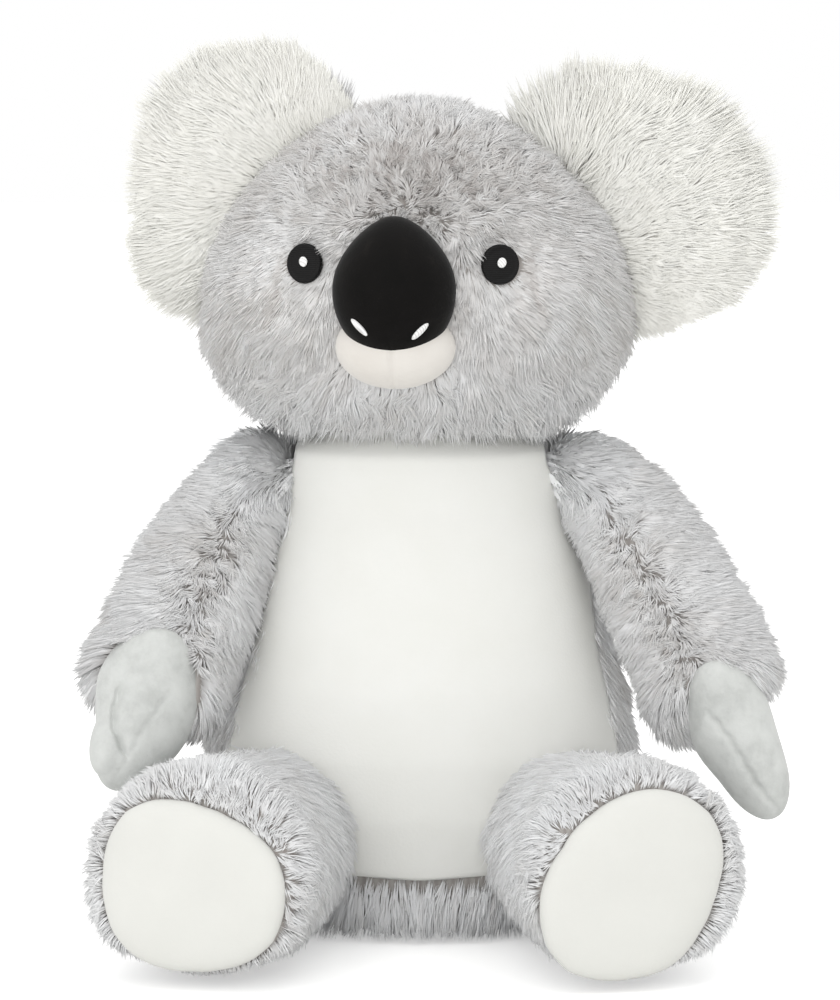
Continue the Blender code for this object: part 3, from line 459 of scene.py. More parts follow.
# Tummy panel
# A blank of smooth ivory velour sewn edge to edge into the front, for embroidery. It is stretched over the
# filling, so it has no folds, only the soft pull at its seams.
PANEL_INSET = 0.0025
PANEL_CLOTH = 0.0022
IVORY_VELOUR = patterned(
    "ivory velour", {"Roughness": 0.9, "Sheen Weight": 0.35, "Sheen Roughness": 0.4, "Specular IOR Level": 0.2},
    "ShaderNodeTexNoise", {"Scale": 42.0, "Detail": 3.0}, [(0.25, "E9E9E4"), (0.75, "ECECE8")],
    {"Strength": 0.22, "Distance": 0.0004}, {"Scale": 900.0, "Detail": 4.0})

bpy.ops.object.select_all(action="DESELECT")
bpy.ops.mesh.primitive_grid_add(x_subdivisions=72, y_subdivisions=96, size=2.0)
panel = bpy.context.object
panel.name = "tummy_velour"
panel.data.name = "tummy_velour"
panel_rows = np.array(inset_rows(TORSO_SHARES, TORSO, TORSO_BASE, PANEL_INSET, BELLY_SHIFTS))
for vert in panel.data.vertices:
    across = vert.co.x
    share = (vert.co.y + 1) / 2
    rise = panel_rise[0] + (panel_rise[-1] - panel_rise[0]) * (share + 0.35 * share ** 2 * (1 - share))
    reach = float(np.interp(rise, panel_rise, panel_reach) + pulled(across, rise)) + 0.0008
    x = across * reach
    wide = float(np.interp(rise, panel_rows[:, 2], panel_rows[:, 3]))
    deep = float(np.interp(rise, panel_rows[:, 2], panel_rows[:, 4]))
    shift = float(np.interp(rise, panel_rows[:, 2], panel_rows[:, 1]))
    vert.co = (x, shift - deep * math.sqrt(max(1 - (x / wide) ** 2, 0.0)), rise)
applied(panel, "SMOOTH", factor=0.5, iterations=3)
applied(panel, "SOLIDIFY", thickness=PANEL_CLOTH, offset=-1.0)
bpy.ops.object.mode_set(mode="EDIT")
bpy.ops.mesh.select_all(action="SELECT")
bpy.ops.mesh.remove_doubles(threshold=0.00005)
bpy.ops.mesh.normals_make_consistent(inside=False)
bpy.ops.object.mode_set(mode="OBJECT")
bpy.ops.object.shade_smooth()
panel.data.materials.append(IVORY_VELOUR)
dress(panel, "torso", "tummy_panel")

# Legs and soles
# Each leg is a plush tube filled firmly from the hip to the foot. Its mouth is gathered round an oval pad of
# the same velour as the tummy, so the pile bursts out in a ring round the pad.


def retoned(material, name, tones):
    """The same finish in other tones."""
    made = material.copy()
    made.name = name
    set_ramp([node for node in made.node_tree.nodes if node.type == "VALTORGB"][0], tones)
    return made


# The soles are the tummy's velour in a darker tone, as painted shade, since they face the lamps more squarely.
SHADED_SOLE_VELOUR = retoned(IVORY_VELOUR, "ivory velour, painted shade", [(0.25, "DDDDD8"), (0.75, "E1E1DC")])
LEG = (0.084, 0.084, 0.100)
LEG_GIRTH = 0.0358
HIP = (0.056, -0.050, 0.0385)
LEG_SHARES = (
    (-0.37, 0.20, 0.20), (-0.34, 0.45, 0.45), (-0.22, 0.75, 0.75), (0.0, 0.885, 0.885), (0.16, 0.885, 0.885),
    (0.34, 0.93, 0.93), (0.60, 0.985, 0.985), (0.82, 1.00, 1.00), (0.94, 0.975, 0.975), (1.00, 0.86, 0.86),
)
SOLE_DROP = 0.0035
SOLE_SHIFTS = {"left": -0.0026, "right": -0.0012}
SOLE_OUTLINES = {
    "left": ((0, 32.5), (20, 31.2), (40, 28.6), (62, 26.8), (83, 27.4), (102, 29.8), (118, 32.6), (135, 34.6),
             (154, 34.0), (174, 32.7), (197, 33.0), (211, 33.8), (227, 33.5), (245, 32.0), (269, 30.2),
             (289, 30.9), (308, 32.7), (326, 33.9), (346, 33.1), (360, 32.5)),
    "right": ((0, 31.4), (12, 33.6), (26, 35.8), (40, 37.0), (56, 36.3), (76, 34.2), (98, 31.0), (119, 28.6),
              (151, 27.8), (172, 30.4), (191, 33.0), (214, 36.2), (232, 36.9), (251, 34.6), (269, 32.6),
              (294, 32.0), (325, 29.8), (345, 30.0), (360, 31.4)),
}


def sole_reach(word, x, z):
    """How far the sole reaches in the direction of a place on the foot's face."""
    turns, reaches = zip(*SOLE_OUTLINES[word])
    return np.interp(np.degrees(np.arctan2(z, x)) % 360, turns, reaches) * 1.03 / 1000


LEG_TILT = Matrix.Rotation(math.radians(90), 4, "X")


def leg_comb(p, n):
    """Out from the sole's middle on the foot's face, and down both sides of the leg."""
    out = unit((p - (0.0, 0.0, -SOLE_DROP)) * (1, 0, 1))
    down = np.stack((p[:, 2], 0 * p[:, 0], -p[:, 0]), axis=1)
    ridge = np.tanh((p[:, 0:1] + 0.005 * drift(p, 0.03, 6)[:, None]) / 0.015)
    face = np.maximum(-n[:, 1:2], 0)
    return out * 1.4 * face + unit(down) * ridge * (1 - face) + (0.0, 0.45, 0.0)


def leg_lift(p, n):
    """Nearly upright round the sole, flatter along the leg and under it."""
    face = np.maximum(-n[:, 1], 0)
    under = ((-0.020 - p[:, 2]) / 0.010).clip(0, 1)
    return (20 + 10 * face) * (1 - 0.6 * under), (6 + 2 * face) * (1 - 0.6 * under)


def leg_scale(p, n):
    """Short round the sole, and under the foot, where it is crushed."""
    crushed = 1.0 - 0.55 * ((-0.020 - p[:, 2]) / 0.012).clip(0, 1) * (p[:, 1] < -0.05)
    return crushed * (1.0 - 0.26 * np.maximum(-n[:, 1], 0) ** 0.5)


for side, word, splay, fuller, seed in ((-1, "left", 13.0, 0.10, 21), (1, "right", 12.0, 0.05, 22)):
    hip = (Matrix.Translation((side * HIP[0], HIP[1], HIP[2]))
           @ Matrix.Rotation(math.radians(side * splay), 4, "Z") @ Matrix.Rotation(math.radians(-1.8), 4, "X"))
    rows = [(0.0, 0.0, up * LEG[2] - (SKIN_INSET if up == 1.0 else 0.0),
             wide * LEG[0] / 2 - SKIN_INSET, deep * LEG[1] / 2 - SKIN_INSET) for up, wide, deep in LEG_SHARES]
    leg_skin = stacked_rings(f"leg_{word}_backing", rows, 36)
    leg_skin.data.transform(LEG_TILT)
    for vert in leg_skin.data.vertices:
        out, low = max(vert.co.x * side / LEG_GIRTH, 0.0), max(-vert.co.z / LEG_GIRTH, 0.0)
        full = 1.02 + (0.10 * out ** 2 + 0.26 * out * low if word == "left" else 0.045 * out ** 2)
        vert.co.x *= full
        vert.co.z *= min(full, 1.02 + 0.04 * out)
    leg_skin.data.materials.append(BACKING)

    def leg_crowd(p, n):
        return (p[:, 1] < 0.026) * (0.45 + 0.55 * (n[:, 2] > -0.7)) * (1.0 + 1.3 * (p[:, 1] < -0.07))

    def rim(p):
        x, z = p[:, 0] - SOLE_SHIFTS[word], p[:, 2] + SOLE_DROP
        return np.hypot(x, z) - sole_reach(word, x, z)

    def leg_keep(p, n):
        return (rim(p) > -0.0012) | (n[:, 1] > -0.2)

    def leg_ruffle(p, n):
        return np.exp(-(np.maximum(rim(p), 0) / 0.006) ** 2) * (p[:, 1] < -0.07) * (p[:, 2] > -0.012) * 0.5

    def outer(p):
        return (p[:, 0] * side / 0.03).clip(0, 1)

    # The pile's tone is a little darker under each leg: painted shade.
    pile = grow_pile(f"leg_{word}_pile", leg_skin, GREY_PILE, 43000, 0.0125, leg_comb,
                     lambda p, n: [tilt + 6 * outer(p) for tilt in leg_lift(p, n)], 0.00038, leg_crowd, leg_keep,
                     lambda p, n: 0.74 - 0.10 * (p[:, 2] < -0.03),
                     lambda p, n: leg_scale(p, n) * (1 + fuller * outer(p)), leg_ruffle,
                     sag=0.02, seed=seed, turn=hip)
    leg_skin.data.transform(hip)
    dress(pile, f"leg_{word}", f"leg_{word}_plush")
    dress(leg_skin, f"leg_{word}", f"leg_{word}_plush")
    fill_skin(leg_skin, f"leg_{word}", f"leg_{word}_stuffing")

    sole_rows = [(0.0, 0.0, LEG[2] - 0.006 + rise, share, share) for rise, share in (
        (-0.001, 0.97), (0.0005, 1.0), (0.0026, 1.0), (0.0044, 0.975), (0.0060, 0.91), (0.0075, 0.78),
        (0.0086, 0.56), (0.0090, 0.25))]
    sole = stacked_rings(f"leg_{word}_sole_velour", sole_rows, 48)
    for vert in sole.data.vertices:
        reach = float(sole_reach(word, vert.co.x, vert.co.y))
        vert.co = (vert.co.x * reach + SOLE_SHIFTS[word], vert.co.y * reach - SOLE_DROP, vert.co.z)
    sole.data.transform(hip @ LEG_TILT)
    sole.data.materials.append(SHADED_SOLE_VELOUR)
    dress(sole, f"leg_{word}", f"leg_{word}_sole")

# Arms and paws
# Each arm is a plush sleeve, wider towards the wrist, with the pile rubbed up where it parts down the front. A
# velour mitten is sewn into its mouth and domes out in front, so the pile hangs down on both sides of it.
ARM = (0.057, 0.044, 0.104)
SHOULDER = (0.063, -0.012, 0.1675)
ARM_SHARES = (
    (-0.185, 0.25, 0.25), (-0.15, 0.48, 0.55), (-0.08, 0.66, 0.80), (0.0, 0.72, 0.93), (0.18, 0.80, 0.95),
    (0.38, 0.92, 0.99), (0.60, 0.97, 1.00), (0.80, 1.00, 1.00), (0.94, 0.97, 0.94), (1.00, 0.84, 0.80),
)
ARM_BENDS = {
    "left": (0.0, 0.0, 0.0, 0.0, 0.05, 0.06, 0.06, 0.055, 0.05, 0.05),
    "right": (0.0, 0.0, 0.02, 0.035, 0.066, 0.080, 0.075, 0.070, 0.075, 0.085),
}
# Rows of each mitten, in mm: how far down the arm, its middle outwards, and its half width and half depth.
MITTENS = {
    "left": ((79.0, 8.0, 5.0, 5.0), (80.5, 8.5, 11.0, 9.5), (84, 8.6, 16.2, 13.0), (91, 8.0, 19.4, 15.0),
             (98, 7.4, 20.0, 15.5), (105, 6.0, 18.8, 15.0), (112, 5.0, 16.8, 14.2), (119, 5.4, 14.2, 13.0),
             (126, 6.0, 11.0, 11.0), (131, 6.6, 7.6, 8.0), (134.5, 6.8, 3.2, 3.6)),
    "right": ((91.5, 9.8, 5.0, 5.0), (93, 10.2, 10.0, 9.0), (97, 9.8, 13.4, 12.5), (103, 8.8, 15.4, 14.5),
              (109, 7.8, 16.4, 15.0), (117, 7.2, 15.4, 14.5), (126, 7.8, 13.2, 13.0), (135, 7.6, 11.8, 11.6),
              (142, 7.4, 8.6, 9.0), (146, 7.2, 5.0, 5.4), (147.5, 7.2, 2.2, 2.4)),
}
# Creases of each mitten, in mm: points down the arm and outwards, then the crease's half width and depth.
PAW_CREASES = {
    "left": ((((99, 17.6), (106, 17.3), (112.8, 16.0), (117.9, 13.3), (121.5, 10.0), (126, 5.2)), 1.3, 2.4),
             (((96, -0.3), (103.5, 1.4), (113, 3.8), (122.8, 5.2), (134, 7.0)), 1.2, 0.5)),
    "right": ((((103, 2.2), (106.6, 2.8), (116, 4.8), (125.8, 5.7), (136.7, 6.6), (148.6, 9.3)), 1.2, 1.3),
              (((126, 19.0), (129.4, 17.7), (135.4, 13.1), (141, 8.7)), 1.8, 0.8)),
}
# Short-cut polyester velour, a cool pale grey: smooth, with streaks where the nap was stroked the other way.
PAW_VELOUR = patterned(
    "pale grey velour",
    {"Roughness": 0.85, "Sheen Weight": 0.4, "Sheen Roughness": 0.35, "Specular IOR Level": 0.25},
    "ShaderNodeTexNoise", {"Scale": 70.0, "Detail": 6.0, "Roughness": 0.65},
    [(0.32, "BFC1BE"), (0.5, "CFD1CE"), (0.72, "D9DBD8")], {"Strength": 0.35, "Distance": 0.0005},
    {"Scale": 800.0, "Detail": 4.0})

for side, word, spread, forward, seed in ((-1, "left", 22.0, 30.0, 31), (1, "right", 27.0, 23.0, 32)):
    shoulder = (Matrix.Translation((side * SHOULDER[0], SHOULDER[1], SHOULDER[2]))
                @ Matrix.Rotation(math.radians(-side * spread), 4, "Y")
                @ Matrix.Rotation(math.radians(-forward), 4, "X"))
    rows = [(side * bend * ARM[2], 0.0, -up * ARM[2],
             wide * ARM[0] / 2 - SKIN_INSET, deep * ARM[1] / 2 - SKIN_INSET)
            for (up, wide, deep), bend in zip(ARM_SHARES, ARM_BENDS[word])]
    rows[-1] = (*rows[-1][:2], rows[-1][2] + SKIN_INSET, *rows[-1][3:])
    rows[-2] = (*rows[-2][:2], rows[-2][2] + SKIN_INSET / 2, *rows[-2][3:])
    arm_skin = stacked_rings(f"arm_{word}_backing", rows, 32)
    arm_skin.data.materials.append(BACKING)
    bend_z = np.array([-row[0] * ARM[2] for row in ARM_SHARES])[::-1]
    bend_x = np.array([side * bend * ARM[2] for bend in ARM_BENDS[word]])[::-1]
    mitten = np.array(MITTENS[word]) / 1000

    def off_mitten(p):
        """How far a place on the front is outside the mitten, towards the sides or up the arm."""
        down = -p[:, 2]
        half = np.interp(down, mitten[:, 0], mitten[:, 2], left=0.0)
        aside = np.abs(p[:, 0] - side * np.interp(down, mitten[:, 0], mitten[:, 1]))
        above = np.hypot(aside * 0.5, np.maximum(mitten[0, 0] - down, 0))
        return np.where(down < mitten[0, 0], above, aside - half)

    def parting(p):
        """-1 inwards of the parting, 1 outwards, and 0 on it."""
        return np.tanh((p[:, 0:1] - np.interp(p[:, 2], bend_z, bend_x)[:, None] + side * 0.004
                        + 0.003 * drift(p, 0.03, seed)[:, None]) / 0.007)

    def arm_comb(p, n):
        round_way = unit(np.cross(np.array((0.0, 0.0, 1.0)), n)) * parting(p)
        back = np.maximum(n[:, 1:2], 0)
        mouth = np.maximum(-n[:, 2:3], 0)
        top = ((p[:, 2:3] + 0.012) / 0.022).clip(0, 1)
        return (round_way * (1 - 0.7 * back) * (1 - mouth) * (1 - top)
                + np.array((0.0, 0.0, -1.0)) * (0.45 + 0.8 * back + mouth)
                + np.array((side * 1.0, -0.3, 0.0)) * top)

    def flared(p):
        """1 on the outer side of the wrist, fading out up the arm."""
        return ((-p[:, 2] - 0.060) / 0.03).clip(0, 1) * (p[:, 0] * side > 0.004)

    def arm_lift(p, n):
        flare = flared(p) * (n[:, 1] < 0.6)
        top = (n[:, 2] > 0.3) * 6
        swell = 9 * np.abs(n[:, 0])
        flare = flare * (0.6 if word == "left" else 0.5)
        return 22 + swell + 22 * flare - top, 7 + swell + 17 * flare - top

    def arm_ruffle(p, n):
        return (1 - parting(p)[:, 0] ** 2) ** 1.5 * (n[:, 1] < 0) * ((-0.006 - p[:, 2]) / 0.02).clip(0, 1)

    def arm_scale(p, n):
        front = n[:, 1] < 0.1
        wrist = ((-p[:, 2] - 0.080) / 0.02).clip(0, 1)
        inner = 1 + (1.2 * wrist - 0.35) * (-p[:, 0] * side / 0.014).clip(0, 1) * (word == "right")
        over = np.exp(-(np.maximum(off_mitten(p), 0) / 0.006) ** 2) * (-p[:, 2] < mitten[0, 0] + 0.002)
        over = 1 - 0.45 * over
        return inner * np.where(front, over, 1.0) * (1 + (0.15 if word == "left" else 0.0) * flared(p))

    def arm_keep(p, n):
        return (off_mitten(p) > -0.0010) | (n[:, 1] > -0.1)

    # The pile is paler at the top of each arm, on its inner side: painted light where the head and body shade it.
    pile = grow_pile(f"arm_{word}_pile", arm_skin, GREY_PILE, 37000, 0.0120, arm_comb, arm_lift, 0.00040,
                     lambda p, n: (p[:, 2] < 0.018) * (0.6 + 0.4 * (n[:, 1] < 0.3)), arm_keep,
                     lambda p, n: 0.61 + 0.2 * ((p[:, 2] + 0.02) / 0.02).clip(0, 1) * (p[:, 0] * side < 0.010),
                     arm_scale, arm_ruffle, sag=0.06, seed=seed, turn=shoulder)
    arm_skin.data.transform(shoulder)
    dress(pile, f"arm_{word}", f"arm_{word}_sleeve")
    dress(arm_skin, f"arm_{word}", f"arm_{word}_sleeve")
    fill_skin(arm_skin, f"arm_{word}", f"arm_{word}_stuffing")

    sunk = (0.0045, 0.0040, 0.0025) + (0.0,) * (len(mitten) - 3)
    span = mitten[-1, 0] - mitten[0, 0]
    palm_rows = [(side * out, -0.0045 * (1 - (down - mitten[0, 0]) / span), -down + up, wide, deep + up * 2)
                 for (down, out, wide, deep), up in zip(mitten, sunk)]
    palm = stacked_rings(f"arm_{word}_paw_velour", palm_rows, 32)
    if word == "left":
        lobe_shares = ((0.0, 0.25), (0.06, 0.6), (0.25, 0.92), (0.5, 1.0), (0.75, 0.9), (0.93, 0.6), (1.0, 0.25))
        lobe_rows = [(side * (0.0135 - 0.002 * up), -0.0035, -0.1025 - up * 0.030, wide * 0.0092, wide * 0.0100)
                     for up, wide in lobe_shares]
        lobe = stacked_rings("paw_lobe", lobe_rows, 24)
        lobe.select_set(True)
        palm.select_set(True)
        bpy.context.view_layer.objects.active = palm
        bpy.ops.object.join()
    applied(palm, "REMESH", mode="VOXEL", voxel_size=0.0007)
    applied(palm, "SMOOTH", iterations=8)
    for vert in palm.data.vertices:
        x, down = vert.co.x * side, -vert.co.z
        for points, wide, deep in PAW_CREASES[word]:
            downs, outs = [point[0] / 1000 for point in points], [point[1] / 1000 for point in points]
            if vert.co.y < 0 and downs[0] < down < downs[-1]:
                ends = min((down - downs[0]) / 0.004, (downs[-1] - down) / 0.003, 1.0)
                waver = 0.0003 * math.sin(down * 900)
                aside = (x + waver - float(np.interp(down, downs, outs))) / (wide / 1000)
                vert.co.y += deep / 1000 * ends * math.exp(-aside ** 2)
    bpy.ops.object.shade_smooth()
    palm.data.materials.clear()
    palm.data.materials.append(PAW_VELOUR)
    palm.data.transform(shoulder)
    dress(palm, f"arm_{word}", f"arm_{word}_paw")

# Head
# One broad plush ball, filled firmly and closed on the body. The pile springs from a whorl on the forehead and
# lies outwards and down from it, shorter round the eyes.
HEAD = (0.168, 0.140, 0.1285)
HEAD_SHARES = (
    (0.0, 0.20, 0.20), (0.012, 0.40, 0.40), (0.075, 0.68, 0.66), (0.170, 0.86, 0.84), (0.290, 0.96, 0.95),
    (0.430, 1.00, 1.00), (0.575, 0.955, 0.98), (0.745, 0.80, 0.87), (0.895, 0.57, 0.66), (0.980, 0.30, 0.37),
    (1.0, 0.16, 0.18),
)
HEAD_FORWARD = 0.008
NECK_HEIGHT = 0.1855
neck = Matrix.Translation((0.0, 0.0, NECK_HEIGHT)) @ Matrix.Rotation(math.radians(-5.7), 4, "Z")
jowls = (0.05, 0.05, 0.075, 0.060, 0.030, 0.0, 0.0, 0.0, 0.0, 0.0, 0.0)
full_shares = [(up, wide + more, deep + more) for (up, wide, deep), more in zip(HEAD_SHARES, jowls)]
head_rows = inset_rows(full_shares, HEAD, 0.0, SKIN_INSET, [HEAD_FORWARD] * len(HEAD_SHARES))
head_skin = stacked_rings("head_backing", head_rows, 44)
head_skin.data.materials.append(BACKING)
WHORL = np.array((0.001, -0.068, 0.0930))
NOSE = np.array((0.0, -0.077, 0.0605))
NOSE_X, NOSE_Z, CHIN_Z = -0.0020, 0.0600, 0.0378
EYES = (np.array((-0.036, -0.0695, 0.068)), np.array((0.036, -0.0695, 0.068)))


def head_comb(p, n):
    """Away from the whorl on the forehead, and down past the nose and the chin."""
    away = unit(p - WHORL)
    low = (p[:, 2:3] < 0.06) * (p[:, 1:2] < 0) * np.array((0.0, 0.0, -0.35))
    rim = np.exp(-((off_nose(p) - 1) / 0.22) ** 2) * (p[:, 2] > 0.058) * (p[:, 1] < -0.04)
    over = unit(NOSE - p) * (rim * (1.2 + 0.8 * drift(p, 0.006, 9)))[:, None]
    return away + low + over


def nose_share(up):
    """The nose's width at a height from -1 to 1, as a share of an even oval's."""
    return 1.0 - 0.05 * up - 0.22 * np.maximum(up, 0.0) ** 2


def off_nose(p):
    """Distance from the nose's middle, 1 at its edge."""
    up = (p[:, 2] - NOSE_Z) / 0.0258
    return np.hypot((p[:, 0] - NOSE_X) / 0.0225 / nose_share(up.clip(-1, 1)), up)


def from_whorl(p):
    """Distance from the whorl."""
    return np.linalg.norm(p - WHORL, axis=1)


def head_lift(p, n):
    """Upright in the whorl, lying down away from it, and hanging off the head's lower edge."""
    stand = np.exp(-(from_whorl(p) / 0.016) ** 2)
    hang = ((0.030 - p[:, 2]) / 0.02).clip(0, 1)
    crown = ((p[:, 2] - 0.105) / 0.012).clip(0, 1)
    jowl = np.abs(n[:, 0]) ** 1.5 * ((0.062 - p[:, 2]) / 0.02).clip(0, 1) * np.where(p[:, 0] < 0, 18, 9)
    rim = np.exp(-((off_nose(p) - 0.95) / 0.12) ** 2) * (p[:, 1] < -0.04)
    reach = uphill_of_eye(p)
    above = np.where(reach > 0.0125, 15.0, 0.0) - np.where((near_eye(p) < 0.0125) & (reach <= 0.0125), 9.0, 0.0)
    return (22 + 16 * stand + 26 * hang + 8 * crown + jowl + 16 * rim + above,
            7 + 20 * stand + 30 * hang + 10 * crown + jowl + 2 * rim + above * 0.3)


def head_ruffle(p, n):
    """Rubbed up over the forehead and the brows, and a little on the cheeks and under the chin."""
    brow = np.exp(-((p[:, 0] / 0.050) ** 2 + ((p[:, 2] - 0.0985) / 0.020) ** 2) ** 1.5)
    jaw = np.exp(-(((p[:, 0] + 0.004) / 0.050) ** 2 + ((p[:, 2] - 0.018) / 0.014) ** 2))
    cheek = np.exp(-(((p[:, 0] + 0.046) / 0.014) ** 2 + ((p[:, 2] - 0.030) / 0.016) ** 2))
    return (p[:, 1] < 0) * np.maximum(1.2 * brow, 0.5 * np.maximum(jaw, cheek))


def near_eye(p):
    """Distance from the nearer eye, across the face."""
    return np.minimum(*[np.hypot(p[:, 0] - eye[0], p[:, 2] - eye[2]) for eye in EYES])


def uphill_of_eye(p):
    """How far a root lies from an eye on the side that the pile comes from, 0 elsewhere."""
    reach = np.zeros(len(p))
    for eye in EYES:
        way = (WHORL - eye) * (1, 0, 1)
        way = way / np.linalg.norm(way)
        aside = np.abs((p - eye) @ np.cross(way, (0.0, 1.0, 0.0)))
        near = (aside < 0.0070) & (p[:, 1] < -0.04)
        reach = np.maximum(reach, ((p - eye) @ way - 0.0012) * near)
    return np.where(reach < 0.0190, reach, 0.0)


def head_scale(p, n):
    """Trimmed short round the eyes, the nose and the chin, and longer at the jaw."""
    outer = np.abs(p[:, 0]) > 0.036
    trimmed = np.where(outer, 0.42, 0.72) + 0.28 * ((near_eye(p) - 0.006) / 0.014).clip(0, 1)
    trimmed = trimmed + np.where(outer, 0.30, 0.0) * ((near_eye(p) - 0.010) / 0.012).clip(0, 1)
    reach = uphill_of_eye(p)
    trimmed = np.where(reach > 0.0125, 0.78, np.where(reach > 0.0, 0.40, trimmed))
    nose = np.minimum(off_nose(p), np.hypot((p[:, 0] - NOSE_X) / 0.0225, (p[:, 2] - 0.045) / 0.024))
    hang = ((0.034 - p[:, 2]) / 0.022).clip(0, 1) * (n[:, 1] < 0.5)
    short = np.where(p[:, 1] < -0.03, np.minimum(trimmed, 0.45 + 0.55 * ((nose - 0.9) / 0.5).clip(0, 1)), 1.0)
    jowl = np.abs(n[:, 0]) ** 1.5 * ((0.062 - p[:, 2]) / 0.02).clip(0, 1) * np.where(p[:, 0] < 0, 0.25, 0.08)
    return short * (1 + hang * (0.36 + 0.30 * (np.abs(p[:, 0]) > 0.036))) + 0.6 * jowl


def head_keep(p, n):
    """None under the eyes, the nose and the chin."""
    front = p[:, 1] < -0.04
    nose = off_nose(p) < 0.91
    chin = np.hypot((p[:, 0] - NOSE_X) / 0.0205, (p[:, 2] - CHIN_Z) / 0.0135) < 1
    return ~(front & (nose | chin | (near_eye(p) < np.where(uphill_of_eye(p) > 0, 0.0078, 0.0062))))


def head_tone_and_shade(p, n):
    """Mottled and warmer in the whorl, paler under the chin, painted light on the crown, painted shade by each eye.
    """
    stand = np.exp(-(from_whorl(p) / 0.034) ** 2)
    # Painted shade of the crease that the pull of each eye makes beside it.
    fold = np.exp(-((np.abs(p[:, 0]) - 0.0436 - 0.12 * (0.068 - p[:, 2])) / 0.0013) ** 2) * (p[:, 1] < -0.04)
    fold = fold * ((p[:, 2] - 0.047) / 0.006).clip(0, 1) * ((0.076 - p[:, 2]) / 0.005).clip(0, 1)
    # The crown is made paler as painted light, and the fold beside each eye darker as painted shade.
    return (0.44 - 0.08 * stand + 0.26 * ((0.040 - p[:, 2]) / 0.03).clip(0, 1)
            + 0.12 * ((p[:, 2] - 0.100) / 0.02).clip(0, 1) - 0.25 * fold)


for part_name, count, seed, crowd in (
        ("head_pile_face", 49000, 41, lambda p, n: (p[:, 1] < -0.048) * 1.0),
        ("head_pile_crown", 49000, 42, lambda p, n: (p[:, 1] >= -0.048) * (p[:, 2] >= 0.058) * 1.0),
        ("head_pile_nape", 42000, 43, lambda p, n: (p[:, 1] >= -0.048) * (p[:, 2] < 0.058)
         * (0.4 + 0.6 * (n[:, 2] > -0.8)))):
    pile = grow_pile(part_name, head_skin, GREY_PILE, count, 0.0125, head_comb, head_lift, 0.00040, crowd,
                     head_keep, head_tone_and_shade, head_scale, head_ruffle, seed=seed, turn=neck)
    dress(pile, "head", "head_plush")
head_skin.data.transform(neck)
dress(head_skin, "head", "head_plush")
fill_skin(head_skin, "head", "head_stuffing")

# Nose, nostrils and chin
# A domed pad of black velour, filled hard, with two nostrils in white satin stitch. Under it a crescent of
# off-white velour, sewn in two halves, makes the chin.
BLACK_VELOUR = patterned(
    "black velour",
    {"Roughness": 0.8, "Sheen Weight": 0.10, "Sheen Roughness": 0.3, "Specular IOR Level": 0.15},
    "ShaderNodeTexNoise", {"Scale": 110.0, "Detail": 5.0}, [(0.3, "060504"), (0.62, "0B0908"), (0.8, "181513")],
    {"Strength": 0.3, "Distance": 0.0003}, {"Scale": 1100.0, "Detail": 4.0})
CHIN_VELOUR = retoned(IVORY_VELOUR, "off-white velour", [(0.3, "DFDAD3"), (0.7, "E6E2DC")])
# Rayon embroidery thread in satin stitch, with a silky sheen. Its threads lie 0.4 mm apart, and are drawn 0.9 mm
# apart, so that they show.
WHITE_THREAD = patterned(
    "white satin stitch", {"Roughness": 0.45, "Sheen Weight": 0.2}, "ShaderNodeTexWave",
    {"Scale": 400.0, "Distortion": 1.0, "bands_direction": "DIAGONAL"}, [(0.0, "DAD9D8"), (0.6, "F8F8F7")],
    {"Strength": 0.5, "Distance": 0.0002})


def domed(name, size, place, material, levels=2):
    """A ball stretched to a size and rounded."""
    bpy.ops.object.select_all(action="DESELECT")
    bpy.ops.mesh.primitive_uv_sphere_add(segments=32, ring_count=20, radius=0.5, location=place, scale=size)
    made = bpy.context.object
    made.name = name
    made.data.name = name
    bpy.ops.object.transform_apply(location=True, rotation=True, scale=True)
    if levels:
        applied(made, "SUBSURF", levels=levels, render_levels=levels)
    bpy.ops.object.shade_smooth()
    made.data.materials.append(material)
    return made


def head_halves(z):
    """Half the head's width and half its depth at a height, at the tips of its pile."""
    rows = np.array(inset_rows(HEAD_SHARES, HEAD, 0.0, 0.0, [HEAD_FORWARD] * len(HEAD_SHARES)))
    return np.interp(z, rows[:, 2], rows[:, 3]), np.interp(z, rows[:, 2], rows[:, 4])


def face_y(x, z):
    """The plush face's y at a place, at the tips of its pile."""
    wide, deep = head_halves(z)
    return -HEAD_FORWARD - deep * math.sqrt(max(1 - (x / wide) ** 2, 0.0))


NOSE_Y, CHIN_Y = face_y(0.0, 0.0605) + 0.003, face_y(0.0, 0.0385) + 0.005
nose = domed("nose_pad", (0.0455, 0.046, 0.0520), (NOSE_X, NOSE_Y, NOSE_Z), BLACK_VELOUR)
chin = domed("chin_pad", (0.0445, 0.034, 0.0305), (NOSE_X, CHIN_Y, CHIN_Z), CHIN_VELOUR)
for vert in chin.data.vertices:
    vert.co.y += 0.0009 * math.exp(-((vert.co.x - NOSE_X) / 0.0009) ** 2)
for vert in nose.data.vertices:
    x, up = vert.co.x - NOSE_X, (vert.co.z - NOSE_Z) / 0.026
    vert.co.x = NOSE_X + x * float(nose_share(up))
    seam = math.exp(-(x / 0.0008) ** 2) * max(0.0, min(1.0, (0.048 - vert.co.z) / 0.008))
    vert.co.y += 0.0006 * seam
for pad, slot, node in ((nose, "black_velour", "nose_velour"), (chin, "chin_velour", "chin_velour")):
    pad.data.transform(neck)
    dress(pad, "head", node)

